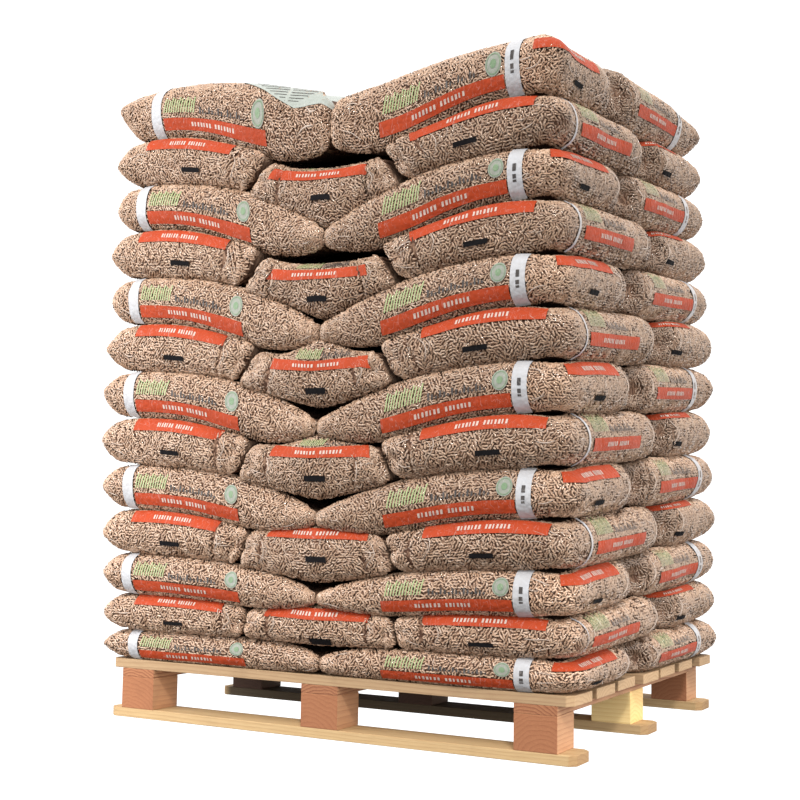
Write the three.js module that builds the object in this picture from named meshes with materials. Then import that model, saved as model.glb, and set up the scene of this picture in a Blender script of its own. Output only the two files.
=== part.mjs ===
// Loaded pallet: thirteen layers of pillow sacks, five sacks to a layer, on a nine-block wooden pallet.
// Millimetres, +Z up. The origin is the middle of the pallet's underside, and the front faces -Y.
import * as THREE from 'three';

// Pallet
const palletLength = 1200; // along X
const bottomBoardLength = 1210; // the bottom boards are sawn a little long
const palletWidth = 1000; // along Y
const bottomBoardThickness = 22;
const blockHeight = 75;
const stringerThickness = 20;
const deckBoardThickness = 22;
const deckBoardWidth = 115;
const deckBoardCount = 7;
const blockLength = 96; // along X, and the stringers' width
const blockWidth = 93; // along Y, and the bottom boards' width
const blockInset = 33; // from the pallet's left and right edges to its outer blocks
const boardChamfer = 14; // sawn off the outer corners of the lead boards and of the bottom boards

// Sacks
const layerCount = 13;
const restGap = 0.3; // between a layer and what it rests on
const sackLength = 600;
const sackWidth = 400;
const sideRound = { front: 45, right: 55, back: 55, left: 80 }; // how far a side rounds in at its two edges
const sideFullness = { front: 2.2, right: 2, back: 2, left: 1.6 }; // exponent of the side's round profile
const topRound = { front: 115, right: 130, back: 110, left: 145 }; // a side's rounding on top of the stack
const topCrown = 38; // how much higher the sacks stand there, where nothing presses them flat
const topDroop = { front: 0.12, right: 0.1, back: 0.2, left: 0.24 }; // share of the thickness lost at its edges
const topDroopRun = 160; // and how far in from the edge
const freeCornerRadius = 62; // seen from above, where two outer sides meet
const freeCornerPinch = 0.18; // share of the thickness that such a corner loses above and below
const freeCornerRun = 85; // how far in that loss reaches
const jointRadius = { front: 26, right: 95, back: 60, left: 70 }; // of the sacks' corners beside a joint in that side
const jointPinch = { front: 0.06, right: 0.3, back: 0.2, left: 0.24 }; // share of the thickness lost there
const jointPinchRun = 65; // how far in from the side that loss reaches
const furrowHalfWidth = 30; // of the furrow between two sacks, further in
const topFurrowHalfWidth = 45; // and on top of the stack
const furrowTopDepth = 0.26; // as a share of the layer's thickness
const furrowBottomDepth = 0.2;
const greatestLoss = 0.42; // of any place, above or below, as a share of the thickness
const tipRun = 90; // how far the ends of the lengthwise sacks thin out towards each other
const tipDepth = 0.31; // share of the thickness lost there, above and below
const tipFilling = 0.16; // and how much of it the middle sack below fills
const shingle = 65; // how far the joints beside a middle crosswise sack lean over it at the front

// How thick a layer is at each corner of the stack with no load on it, and the share the lowest layer loses.
const looseThickness = { frontLeft: 119, frontRight: 115, backLeft: 119, backRight: 119.5 };
const settledShare = { frontLeft: 0.41, frontRight: 0.41, backLeft: 0.2, backRight: 0.2 };
const settlingFade = 2.2; // layers over which the settling dies out

// The valley in the middle of the front, which deepens from layer to layer, and a weaker one at the back.
const valleyDepth = 115;
const valleyGrowth = 5; // layers
const valleyRun = 350; // how far it reaches in from the face
const backValleyShare = 0.5;

// How far the sacks reach out from the middle, at a level counted in layers from the deck.
const reach = {
  front: (level) => 512 + 37 * Math.sin((Math.PI * level) / layerCount),
  back: () => 541,
  left: () => 634,
  right: (level) => 617 - 55 * Math.max(0, (level - 5) / (layerCount - 5)) ** 2,
};

const blockBottom = bottomBoardThickness;
const stringerBottom = blockBottom + blockHeight;
const deckBottom = stringerBottom + stringerThickness;
const deckTop = deckBottom + deckBoardThickness;

const boardWood = new THREE.MeshStandardMaterial({ color: 0xd8b98a, roughness: 0.8, metalness: 0 });
const blockWood = new THREE.MeshStandardMaterial({ color: 0xb9714c, roughness: 0.85, metalness: 0 });
const filledFilm = new THREE.MeshStandardMaterial({ color: 0xa67f62, roughness: 0.35, metalness: 0 });

const pallet = new THREE.Group();

function addPiece(name, geometry, material, x = 0, y = 0, z = 0) {
  const piece = new THREE.Mesh(geometry, material.clone());
  piece.name = name;
  piece.position.set(x, y, z);
  pallet.add(piece);
}

// A board lying flat, its middle over the origin, with the named corners sawn off.
function boardGeometry(length, width, thickness, sawnCorners) {
  const points = [];
  const corners = [['frontLeft', -1, -1], ['frontRight', 1, -1], ['backRight', 1, 1], ['backLeft', -1, 1]];
  for (const [name, sideX, sideY] of corners) {
    const x = (sideX * length) / 2;
    const y = (sideY * width) / 2;
    if (!sawnCorners.includes(name)) {
      points.push(new THREE.Vector2(x, y));
      continue;
    }
    const alongX = new THREE.Vector2(x - sideX * boardChamfer, y);
    const alongY = new THREE.Vector2(x, y - sideY * boardChamfer);
    points.push(...(sideX === sideY ? [alongY, alongX] : [alongX, alongY]));
  }
  return new THREE.ExtrudeGeometry(new THREE.Shape(points), { depth: thickness, bevelEnabled: false });
}

const columns = { left: -1, centre: 0, right: 1 };
const rows = { front: -1, middle: 0, back: 1 };
const columnSpacing = palletLength / 2 - blockInset - blockLength / 2;
const rowSpacing = (palletWidth - blockWidth) / 2;

function addBottomBoards() {
  const sawn = ['frontLeft', 'frontRight', 'backLeft', 'backRight'];
  for (const [name, row] of Object.entries(rows)) {
    const board = boardGeometry(bottomBoardLength, blockWidth, bottomBoardThickness, sawn);
    addPiece(`bottom_board_${name}`, board, boardWood, 0, row * rowSpacing, 0);
  }
}

function addBlocks() {
  for (const [rowName, row] of Object.entries(rows)) {
    for (const [columnName, column] of Object.entries(columns)) {
      const block = new THREE.BoxGeometry(blockLength, blockWidth, blockHeight);
      const z = blockBottom + blockHeight / 2;
      addPiece(`block_${rowName}_${columnName}`, block, blockWood, column * columnSpacing, row * rowSpacing, z);
    }
  }
}

function addStringers() {
  for (const [name, column] of Object.entries(columns)) {
    const stringer = boardGeometry(blockLength, palletWidth, stringerThickness, []);
    addPiece(`stringer_${name}`, stringer, boardWood, column * columnSpacing, 0, stringerBottom);
  }
}

function addDeckBoards() {
  const spacing = (palletWidth - deckBoardWidth) / (deckBoardCount - 1);
  for (let i = 0; i < deckBoardCount; i++) {
    const sawn = [];
    if (i === 0) sawn.push('frontLeft', 'frontRight');
    if (i === deckBoardCount - 1) sawn.push('backLeft', 'backRight');
    const board = boardGeometry(palletLength, deckBoardWidth, deckBoardThickness, sawn);
    const y = (i - (deckBoardCount - 1) / 2) * spacing;
    addPiece(`deck_board_${i + 1}`, board, boardWood, 0, y, deckBottom);
  }
}

// Odd layers have two sacks lengthwise at the front and three crosswise behind them. Even layers are turned round.
const lengthwiseAtFront = (layer) => layer % 2 === 1;
const rowJoint = (layer) => (lengthwiseAtFront(layer) ? sackWidth : sackLength) - palletWidth / 2;

function betweenCorners(values, x, y) {
  const right = THREE.MathUtils.clamp(x / palletLength + 0.5, 0, 1);
  const back = THREE.MathUtils.clamp(y / palletWidth + 0.5, 0, 1);
  const front = THREE.MathUtils.lerp(values.frontLeft, values.frontRight, right);
  const rear = THREE.MathUtils.lerp(values.backLeft, values.backRight, right);
  return THREE.MathUtils.lerp(front, rear, back);
}

// How far the stack sags at (x, y) on top of a layer. A lengthwise layer dips in a V between its two sacks, and a
// crosswise layer dips with a flat bottom, as wide as its middle sack.
function valley(layer, x, y) {
  if (layer === 0) return 0;
  const depth = valleyDepth * (1 - Math.exp(-(layer - 1) / valleyGrowth));
  const across = layer % 2 === 1
    ? 1.1 * Math.exp(-(Math.abs(x / 240) ** 1.6))
    : Math.exp(-(Math.abs(x / 300) ** 3));
  const fromFront = (y + palletWidth / 2) / valleyRun;
  const fromBack = (y - palletWidth / 2) / valleyRun;
  return depth * across * (Math.exp(-(fromFront ** 2)) + backValleyShare * Math.exp(-(fromBack ** 2)));
}

// Height of the face on which layer and layer + 1 meet.
function meetingHeight(layer, x, y) {
  const loose = betweenCorners(looseThickness, x, y);
  const settled = betweenCorners(settledShare, x, y);
  let height = deckTop;
  for (let below = 0; below < layer; below++) height += loose * (1 - settled * Math.exp(-below / settlingFade));
  if (layer === layerCount) height += topCrown;
  return height - valley(layer, x, y);
}

// Grid lines on which every layer's top and bottom are built, so that two layers that meet share their facets. A
// joint has a line at its middle and one on either side. Two short lines nearer to it start from the outline only.
function jointLines(joint) {
  const near = joint === 0 ? 0.15 : 0.33;
  return [-1, -near, 0, near, 1].map((share) => ({ joint, share, short: Math.abs(share) === near }));
}

const xLines = [
  { side: 'left', sign: -1 },
  { at: -sackWidth },
  ...[-sackWidth / 2, 0, sackWidth / 2].flatMap(jointLines),
  { at: sackWidth },
  { side: 'right', sign: 1 },
];
const yLines = [
  { side: 'front', sign: -1 },
  ...[sackWidth - palletWidth / 2, sackLength - palletWidth / 2].flatMap(jointLines),
  { side: 'back', sign: 1 },
];

// Half the width over which a joint shapes its side, or the inside if it meets no side there. The lengthwise sacks
// thin out over a longer way towards each other, but not on top of the stack.
function jointHalfWidth(layer, joint, side) {
  if (layer === layerCount) return Math.max(topFurrowHalfWidth, side ? jointRadius[side] : 0);
  if (joint === 0) return tipRun;
  return side ? jointRadius[side] : furrowHalfWidth;
}

// How far along X a joint in the front or back leans on the face on top of a layer. The joint belongs to the
// crosswise sacks of that layer or of the one above, and leans to the middle as it rises.
function jointLean(layer, joint, side) {
  const crosswise = (layer % 2 === 0) === (side === 'front') ? layer : layer + 1;
  const grown = Math.max(0, 1 - Math.exp(-(crosswise - 1) / valleyGrowth));
  const run = shingle * grown * (side === 'front' ? 1 : backValleyShare);
  return -Math.sign(joint) * run * (crosswise === layer ? 0.55 : -0.45);
}

// A short line crosses the outline only.
const exists = (i, j) => !(xLines[i].short && !yLines[j].side) && !(yLines[j].short && !xLines[i].side);
const lastX = xLines.length - 1;
const lastY = yLines.length - 1;

const roundAt = (level) => (level === layerCount ? topRound : sideRound);

// Where the lines i and j cross on the face on top of a layer.
function crossing(layer, i, j) {
  const [lineX, lineY] = [xLines[i], yLines[j]];
  const place = { x: lineX.at, y: lineY.at };
  if (lineX.side) place.x = lineX.sign * (reach[lineX.side](layer) - roundAt(layer)[lineX.side]);
  if (lineY.side) place.y = lineY.sign * (reach[lineY.side](layer) - roundAt(layer)[lineY.side]);
  if ('joint' in lineX) place.x = lineX.joint + lineX.share * jointHalfWidth(layer, lineX.joint, lineY.side);
  if ('joint' in lineY) place.y = lineY.joint + lineY.share * jointHalfWidth(layer, lineY.joint, lineX.side);
  if (lineX.joint && lineY.side) place.x += jointLean(layer, lineX.joint, lineY.side);
  return place;
}

// The crossings round a cell, from its short line's end if it has one.
function cellOutline(left, right, front, back) {
  const around = [];
  for (let i = left; i < right; i++) around.push([i, front]);
  for (let j = front; j < back; j++) around.push([right, j]);
  for (let i = right; i > left; i--) around.push([i, back]);
  for (let j = back; j > front; j--) around.push([left, j]);
  const cell = around.filter(([i, j]) => exists(i, j));
  const start = Math.max(0, cell.findIndex(([i, j]) => xLines[i].short || yLines[j].short));
  return [...cell.slice(start), ...cell.slice(0, start)];
}

// The crossings round the outside of a layer, each with the sides towards which it bulges. A corner comes three
// times, so that it is round.
function outlineStations() {
  const stations = [];
  const add = (i, j, ...sides) => exists(i, j) && stations.push({ i, j, sides });
  for (let i = 0; i <= lastX; i++) add(i, 0, 'front');
  add(lastX, 0, 'front', 'right');
  for (let j = 0; j <= lastY; j++) add(lastX, j, 'right');
  add(lastX, lastY, 'right', 'back');
  for (let i = lastX; i >= 0; i--) add(i, lastY, 'back');
  add(0, lastY, 'back', 'left');
  for (let j = lastY; j >= 0; j--) add(0, j, 'left');
  add(0, 0, 'left', 'front');
  return stations;
}

const sideHeights = [0.035, 0.2, 0.5, 0.8, 0.965]; // of the rings of points on a layer's sides, as shares

// How far a sack's round corner stands back at a distance from the joint beside it, as a share of its radius.
function cornerDepth(radius, distance) {
  const beyond = Math.max(0, 1 - distance / radius);
  return Math.min(1 - Math.sqrt(1 - beyond ** 2), 0.85);
}

// How far the side stands out at a height, as a share of its full reach.
function bulgeShare(height, fullness) {
  return (1 - Math.abs(2 * height - 1) ** fullness) ** (1 / fullness);
}

// One layer as a closed solid: a bottom and a top grid, and rings of points round the outside that bulge between
// them. At each joint between two sacks the grids are furrowed and the rings are notched.
class SackLayer {
  constructor(layer) {
    this.layer = layer;
    this.lengthwiseAtFront = lengthwiseAtFront(layer);
    this.positions = [];
    this.triangles = [];
    this.bottom = this.addGrid(false);
    this.top = this.addGrid(true);
    this.addSides();
  }

  // The joint of this layer that passes a crossing: how far from its middle, as a share of its half width, and
  // whether it is the one between the ends of the lengthwise sacks.
  jointAt(i, j) {
    const [lineX, lineY] = [xLines[i], yLines[j]];
    const split = rowJoint(this.layer);
    if (lineY.joint === split && (lineX.side || lineY.share === 0)) return { away: Math.abs(lineY.share) };
    if (!('joint' in lineX) || !(lineY.side || lineX.share === 0)) return null;
    const inFront = lineY.side ? lineY.side === 'front' : lineY.joint + lineY.share < split;
    const lengthwise = inFront === this.lengthwiseAtFront;
    if (lengthwise !== (lineX.joint === 0)) return null;
    return { away: Math.abs(lineX.share), tips: lengthwise };
  }

  // Share of the thickness that the layer lacks at a crossing.
  loss(i, j, onTop, place) {
    const onStack = onTop && this.layer === layerCount;
    const round = roundAt(onTop ? this.layer : this.layer - 1);
    const [sideX, sideY] = [xLines[i].side, yLines[j].side];
    const joint = this.jointAt(i, j);
    let total = onStack ? this.droop(place) : 0;
    if (sideX && sideY) {
      total += freeCornerPinch * Math.exp(-((Math.hypot(round[sideX], round[sideY]) / freeCornerRun) ** 2));
    }
    if (joint && joint.away < 1) {
      const side = sideX ?? sideY;
      const furrow = onTop ? furrowTopDepth : furrowBottomDepth;
      const pinch = side ? jointPinch[side] * Math.exp(-((round[side] / jointPinchRun) ** 2)) : 0;
      const deepest = (joint.tips && !onStack ? tipDepth : furrow) + pinch;
      total += deepest * (1 - joint.away) ** (joint.tips ? 1 : 2);
    }
    return Math.min(total, greatestLoss);
  }

  // What the sacks on top of the stack lose towards its edges.
  droop({ x, y }) {
    const level = this.layer - 0.5;
    const inward = {
      front: reach.front(level) + y,
      right: reach.right(level) - x,
      back: reach.back(level) - y,
      left: reach.left(level) + x,
    };
    return Object.entries(topDroop)
      .reduce((total, [side, share]) => total + share * Math.exp(-((inward[side] / topDroopRun) ** 2)), 0);
  }

  // The middle crosswise sack fills part of the space under the thin ends of the lengthwise sacks on top of it.
  filling(i, j) {
    const [lineX, lineY] = [xLines[i], yLines[j]];
    if (this.layer === layerCount || lineX.joint !== 0) return 0;
    const split = rowJoint(this.layer + 1);
    const crosswiseInFront = !this.lengthwiseAtFront;
    const y = lineY.side ? lineY.sign * palletWidth : lineY.joint + lineY.share;
    const underTips = crosswiseInFront ? y < split : y > split;
    return underTips ? tipFilling * (1 - Math.abs(lineX.share)) : 0;
  }

  // How far the outline is drawn in beside a joint, where the side is already rounded in by the inset.
  notch(i, j, inset) {
    const joint = this.jointAt(i, j);
    const edge = xLines[i].side ? xLines[i] : yLines[j];
    if (!joint || !edge.side) return { x: 0, y: 0 };
    const along = xLines[i].side ? yLines[j] : xLines[i];
    const radius = jointRadius[edge.side];
    const depth = cornerDepth(radius, joint.away * jointHalfWidth(this.layer - 1, along.joint, edge.side));
    const inward = edge.sign * depth * Math.max(radius - inset, 0.15 * radius);
    return xLines[i].side ? { x: inward, y: 0 } : { x: 0, y: inward };
  }

  addPoint(x, y, z) {
    this.positions.push(x, y, z);
    return this.positions.length / 3 - 1;
  }

  addGridPoint(i, j, onTop) {
    const level = onTop ? this.layer : this.layer - 1;
    const place = crossing(level, i, j);
    const bottom = meetingHeight(this.layer - 1, place.x, place.y) + restGap;
    const top = meetingHeight(this.layer, place.x, place.y);
    const loss = this.loss(i, j, onTop, place) * (top - bottom);
    const filled = this.filling(i, j) * (top - bottom);
    const edge = xLines[i].side ?? yLines[j].side;
    const inward = this.notch(i, j, edge ? roundAt(level)[edge] : 0);
    return this.addPoint(place.x - inward.x, place.y - inward.y, onTop ? top + filled - loss : bottom + loss);
  }

  addTriangle(a, b, c) {
    if (a !== b && b !== c && c !== a) this.triangles.push(a, b, c);
  }

  // The top or the bottom. Each cell between long lines is a fan, from the end of its short line if it has one.
  addGrid(onTop) {
    const index = xLines.map((_, i) => yLines.map((_, j) => (exists(i, j) ? this.addGridPoint(i, j, onTop) : null)));
    const longX = [...xLines.keys()].filter((i) => !xLines[i].short);
    const longY = [...yLines.keys()].filter((j) => !yLines[j].short);
    for (let a = 1; a < longX.length; a++) {
      for (let b = 1; b < longY.length; b++) {
        const cell = cellOutline(longX[a - 1], longX[a], longY[b - 1], longY[b]).map(([i, j]) => index[i][j]);
        for (let n = 1; n < cell.length - 1; n++) {
          if (onTop) this.addTriangle(cell[0], cell[n], cell[n + 1]);
          else this.addTriangle(cell[0], cell[n + 1], cell[n]);
        }
      }
    }
    return index;
  }

  addSidePoint({ i, j, sides }, height) {
    const from = crossing(this.layer - 1, i, j);
    const to = crossing(this.layer, i, j);
    const x = THREE.MathUtils.lerp(from.x, to.x, height);
    const y = THREE.MathUtils.lerp(from.y, to.y, height);
    const bottom = this.positions[3 * this.bottom[i][j] + 2];
    const top = this.positions[3 * this.top[i][j] + 2];
    const middle = this.layer - 0.5;
    const cornerCut = sides.length > 1 ? freeCornerRadius * (1 - Math.SQRT1_2) : 0;
    const fullness = sides.reduce((total, side) => total + sideFullness[side], 0) / sides.length;
    const bulge = bulgeShare(height, fullness);
    const out = ({ side, sign }, from) => (sides.includes(side) ? sign * (reach[side](middle) - cornerCut) - from : 0);
    const outX = out(xLines[i], x);
    const outY = out(yLines[j], y);
    const inward = this.notch(i, j, (1 - bulge) * Math.hypot(outX, outY));
    const z = THREE.MathUtils.lerp(bottom, top, height);
    return this.addPoint(x + bulge * outX - inward.x, y + bulge * outY - inward.y, z);
  }

  addSides() {
    const outline = outlineStations();
    const rings = [outline.map(({ i, j }) => this.bottom[i][j])];
    for (const height of sideHeights) rings.push(outline.map((station) => this.addSidePoint(station, height)));
    rings.push(outline.map(({ i, j }) => this.top[i][j]));
    for (let r = 1; r < rings.length; r++) {
      for (let n = 0; n < outline.length; n++) {
        const next = (n + 1) % outline.length;
        this.addTriangle(rings[r - 1][n], rings[r - 1][next], rings[r][next]);
        this.addTriangle(rings[r - 1][n], rings[r][next], rings[r][n]);
      }
    }
  }

  geometry() {
    const geometry = new THREE.BufferGeometry();
    geometry.setAttribute('position', new THREE.Float32BufferAttribute(this.positions, 3));
    geometry.setIndex(this.triangles);
    geometry.computeVertexNormals();
    return geometry;
  }
}

function addSackLayers() {
  for (let layer = 1; layer <= layerCount; layer++) {
    const name = `sack_layer_${String(layer).padStart(2, '0')}`;
    addPiece(name, new SackLayer(layer).geometry(), filledFilm);
  }
}

addBottomBoards();
addBlocks();
addStringers();
addDeckBoards();
addSackLayers();

export default pallet;
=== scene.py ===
# Looks of the loaded pallet: 65 clear pillow sacks of wood pellets in thirteen layers, on a nine-block pallet.
# Metres, +Z up. The origin is the middle of the pallet's underside, and the front faces -Y.
import math

import bmesh
import bpy
import numpy as np
from mathutils import Matrix, Vector


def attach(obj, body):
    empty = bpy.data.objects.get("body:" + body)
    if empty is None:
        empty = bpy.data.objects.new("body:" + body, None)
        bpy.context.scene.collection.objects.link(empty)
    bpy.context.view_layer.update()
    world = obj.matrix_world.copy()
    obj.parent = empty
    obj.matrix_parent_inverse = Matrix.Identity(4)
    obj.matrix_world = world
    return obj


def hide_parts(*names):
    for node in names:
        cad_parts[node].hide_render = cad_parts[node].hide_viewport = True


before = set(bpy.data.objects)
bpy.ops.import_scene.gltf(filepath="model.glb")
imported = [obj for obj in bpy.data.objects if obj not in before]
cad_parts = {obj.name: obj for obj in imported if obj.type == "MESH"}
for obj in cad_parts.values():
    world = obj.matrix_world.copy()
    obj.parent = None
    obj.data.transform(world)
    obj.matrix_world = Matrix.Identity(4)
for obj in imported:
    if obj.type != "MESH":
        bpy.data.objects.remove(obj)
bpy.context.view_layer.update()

# The stack, as in the part's source
PALLET_LENGTH = 1.2
PALLET_WIDTH = 1.0
DECK_TOP = 0.139
LAYERS = 13
SACK_LENGTH = 0.6
SACK_WIDTH = 0.4
TOP_CROWN = 0.038
LOOSE_THICKNESS = {"front_left": 0.119, "front_right": 0.115, "back_left": 0.119, "back_right": 0.1195}
SETTLED_SHARE = {"front_left": 0.41, "front_right": 0.41, "back_left": 0.2, "back_right": 0.2}
SETTLING_FADE = 2.2
VALLEY_DEPTH = 0.115
VALLEY_GROWTH = 5
VALLEY_RUN = 0.35
BACK_VALLEY_SHARE = 0.5

# The sacks
FREE_CORNER_RADIUS = 0.062  # where two outer sides meet
JOINT_CORNER_RADIUS = {"front": 0.026, "right": 0.12, "back": 0.06, "left": 0.07}  # beside a joint in that side
JOINT_PINCH = {"front": 0.06, "right": 0.33, "back": 0.2, "left": 0.24}  # share of the thickness lost there
PRESSED_CORNER_RADIUS = 0.02
OUTER_ROUND = {"front": 0.045, "right": 0.055, "back": 0.055, "left": 0.08}  # how far a side rounds in at its edges
OUTER_FULLNESS = {"front": 2.2, "right": 2.0, "back": 2.0, "left": 1.6}  # exponent of the side's profile
TOP_ROUND = {"front": 0.115, "right": 0.115, "back": 0.11, "left": 0.145}  # the same on top of the stack
INNER_ROUND = 0.03  # on a side that a neighbour presses flat
TOP_INNER_ROUND = 0.075
TOP_PELLETS_FROM = 0.018  # how far from such a side the pellets on top begin
INNER_FULLNESS = 3.0
CORNER_REACH = {"front": 0.004, "right": 0.002, "back": 0.003, "left": 0.004}  # added for the roundness of the corners
FREE_PINCH = 0.18  # share of the thickness that a corner without neighbours loses above, and about as much below
TOP_DROOP = {"front": 0.08, "right": 0.0, "back": 0.2, "left": 0.26}  # share lost near the edges of the top sacks
SHINGLE = 0.065  # how far a sack at the edge of the valley leans over the middle one, on top of the stack
CROWN_STRAY = {"front_left": 0.008, "front_right": -0.004}  # added to the height of the topmost sacks
SHOULDER_LOSS = (-0.04, -0.1, 0.05, 0.14, 0.14, 0.14)  # of the middle sacks' thickness, for every two layers
PEAK_LAYERS = 8  # up to this layer a middle sack rises in a peak between the ends above it
JOINT_SHIFT = -0.03  # how far the front joint at the right of the middle sacks lies out of its place at the top
END_LOSS = 0.37  # share of the thickness that a lengthwise sack loses above, at the end where it meets the other one
END_RUN = 0.095  # how far that loss reaches
MOST_LOSS = (0.54, 0.45)  # of the thickness at any place, above and below
NEIGHBOUR_GAP = 0.001
LAYER_GAP = 0.0008
LUMP_HEIGHT = 0.0035  # of the broad lumps that the filling makes in the film
SMALL_LUMP_HEIGHT = 0.0012
CRUMPLE_HEIGHT = 0.004  # of the film's sharp folds beside a joint
SLACK = 0.0042  # how far the film lies inside the full shape, for the pellets and folds on it
DIMPLE_DEPTH = {"front": 0.02, "right": 0.042, "back": 0.025, "left": 0.025}  # of a dent in the corners at a joint
FREE_TIPS = (0.002, 0.012)  # how far the corners of the stack stick out at half the height of a sack
# Painted shade on the pellets in the joints
JOINT_SHADE = 0.4  # how much darker the pellets look in a joint
SACK_SEED = 4711

# The pellets. Neighbours lie nearly parallel, and their direction changes over a distance of a few pellets.
PELLET_RADIUS = 0.00258
PELLET_LENGTHS = (0.008, 0.0115)
PELLET_SPACING = 0.0075
PELLET_JITTER = 0.001
PELLET_STRAY = 0.45  # of a pellet's direction from its neighbours', in radians
TURN_SIZE = 0.035
PELLET_RISE = 0.0009  # how far its axis lies outside the mesh of the sack, which stands for what is behind it
PELLET_TILT = 0.1

# The camera stands where the photograph was taken
CAMERA_PLACE = (1.541, -2.936, 0.488)
CAMERA_YAW = math.radians(-28.93)
CAMERA_PITCH = math.radians(5.35)
CAMERA_ROLL = math.radians(0.87)
CAMERA_LENS = 57.19
WORLD_STRENGTH = 1.35
WORLD_BELOW = 0.05  # brightness of the surroundings far below, as a share


def fade(distance, run, power=2):
    """1 where the distance is 0, falling towards 0 beyond run."""
    return np.exp(-(np.abs(distance / run) ** power))


def between_corners(values, x, y):
    """A value that is given at the four corners of the stack, at the places (x, y)."""
    right = np.clip(x / PALLET_LENGTH + 0.5, 0, 1)
    back = np.clip(y / PALLET_WIDTH + 0.5, 0, 1)
    front_row = values["front_left"] * (1 - right) + values["front_right"] * right
    back_row = values["back_left"] * (1 - right) + values["back_right"] * right
    return front_row * (1 - back) + back_row * back


def valley(layer, x, y):
    """How far the stack sags on top of a layer. It grows from layer to layer, and is deepest at the front."""
    if layer == 0:
        return np.zeros_like(x)
    depth = VALLEY_DEPTH * (1 - math.exp(-(layer - 1) / VALLEY_GROWTH))
    across = 1.1 * fade(x, 0.24, 1.6) if layer % 2 else fade(x, 0.3, 3)
    along = fade(y + PALLET_WIDTH / 2, VALLEY_RUN) + BACK_VALLEY_SHARE * fade(y - PALLET_WIDTH / 2, VALLEY_RUN)
    return depth * across * along


def meeting_height(layer, x, y):
    """Height of the face on which a layer and the next one meet."""
    loose = between_corners(LOOSE_THICKNESS, x, y)
    settled = between_corners(SETTLED_SHARE, x, y)
    faded = sum(math.exp(-below / SETTLING_FADE) for below in range(layer))
    crown = TOP_CROWN if layer == LAYERS else 0
    return DECK_TOP + loose * layer - loose * settled * faded + crown - valley(layer, x, y)


def reach(side, level):
    """How far the sacks reach out from the middle, at a level counted in layers from the deck."""
    if side == "front":
        return 0.512 + 0.037 * math.sin(math.pi * level / LAYERS)
    if side == "right":
        return 0.617 - 0.055 * max(0, (level - 5) / (LAYERS - 5)) ** 2
    return {"back": 0.541, "left": 0.634}[side]


def lumps(points, seed, size):
    """Smooth random numbers, about -1 to 1, that vary over a distance of about size."""
    random = np.random.default_rng(seed)
    total = np.zeros(len(points))
    for _ in range(7):
        direction = random.normal(size=3)
        direction *= 2 * math.pi / (size * random.uniform(1.2, 3.2)) / np.linalg.norm(direction)
        total += np.sin(points @ direction + random.uniform(0, 2 * math.pi))
    return total / 3


SIDES = ("front", "right", "back", "left")
CORNER_SIGNS = np.array([(-1, -1), (1, -1), (1, 1), (-1, 1)], float)


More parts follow.
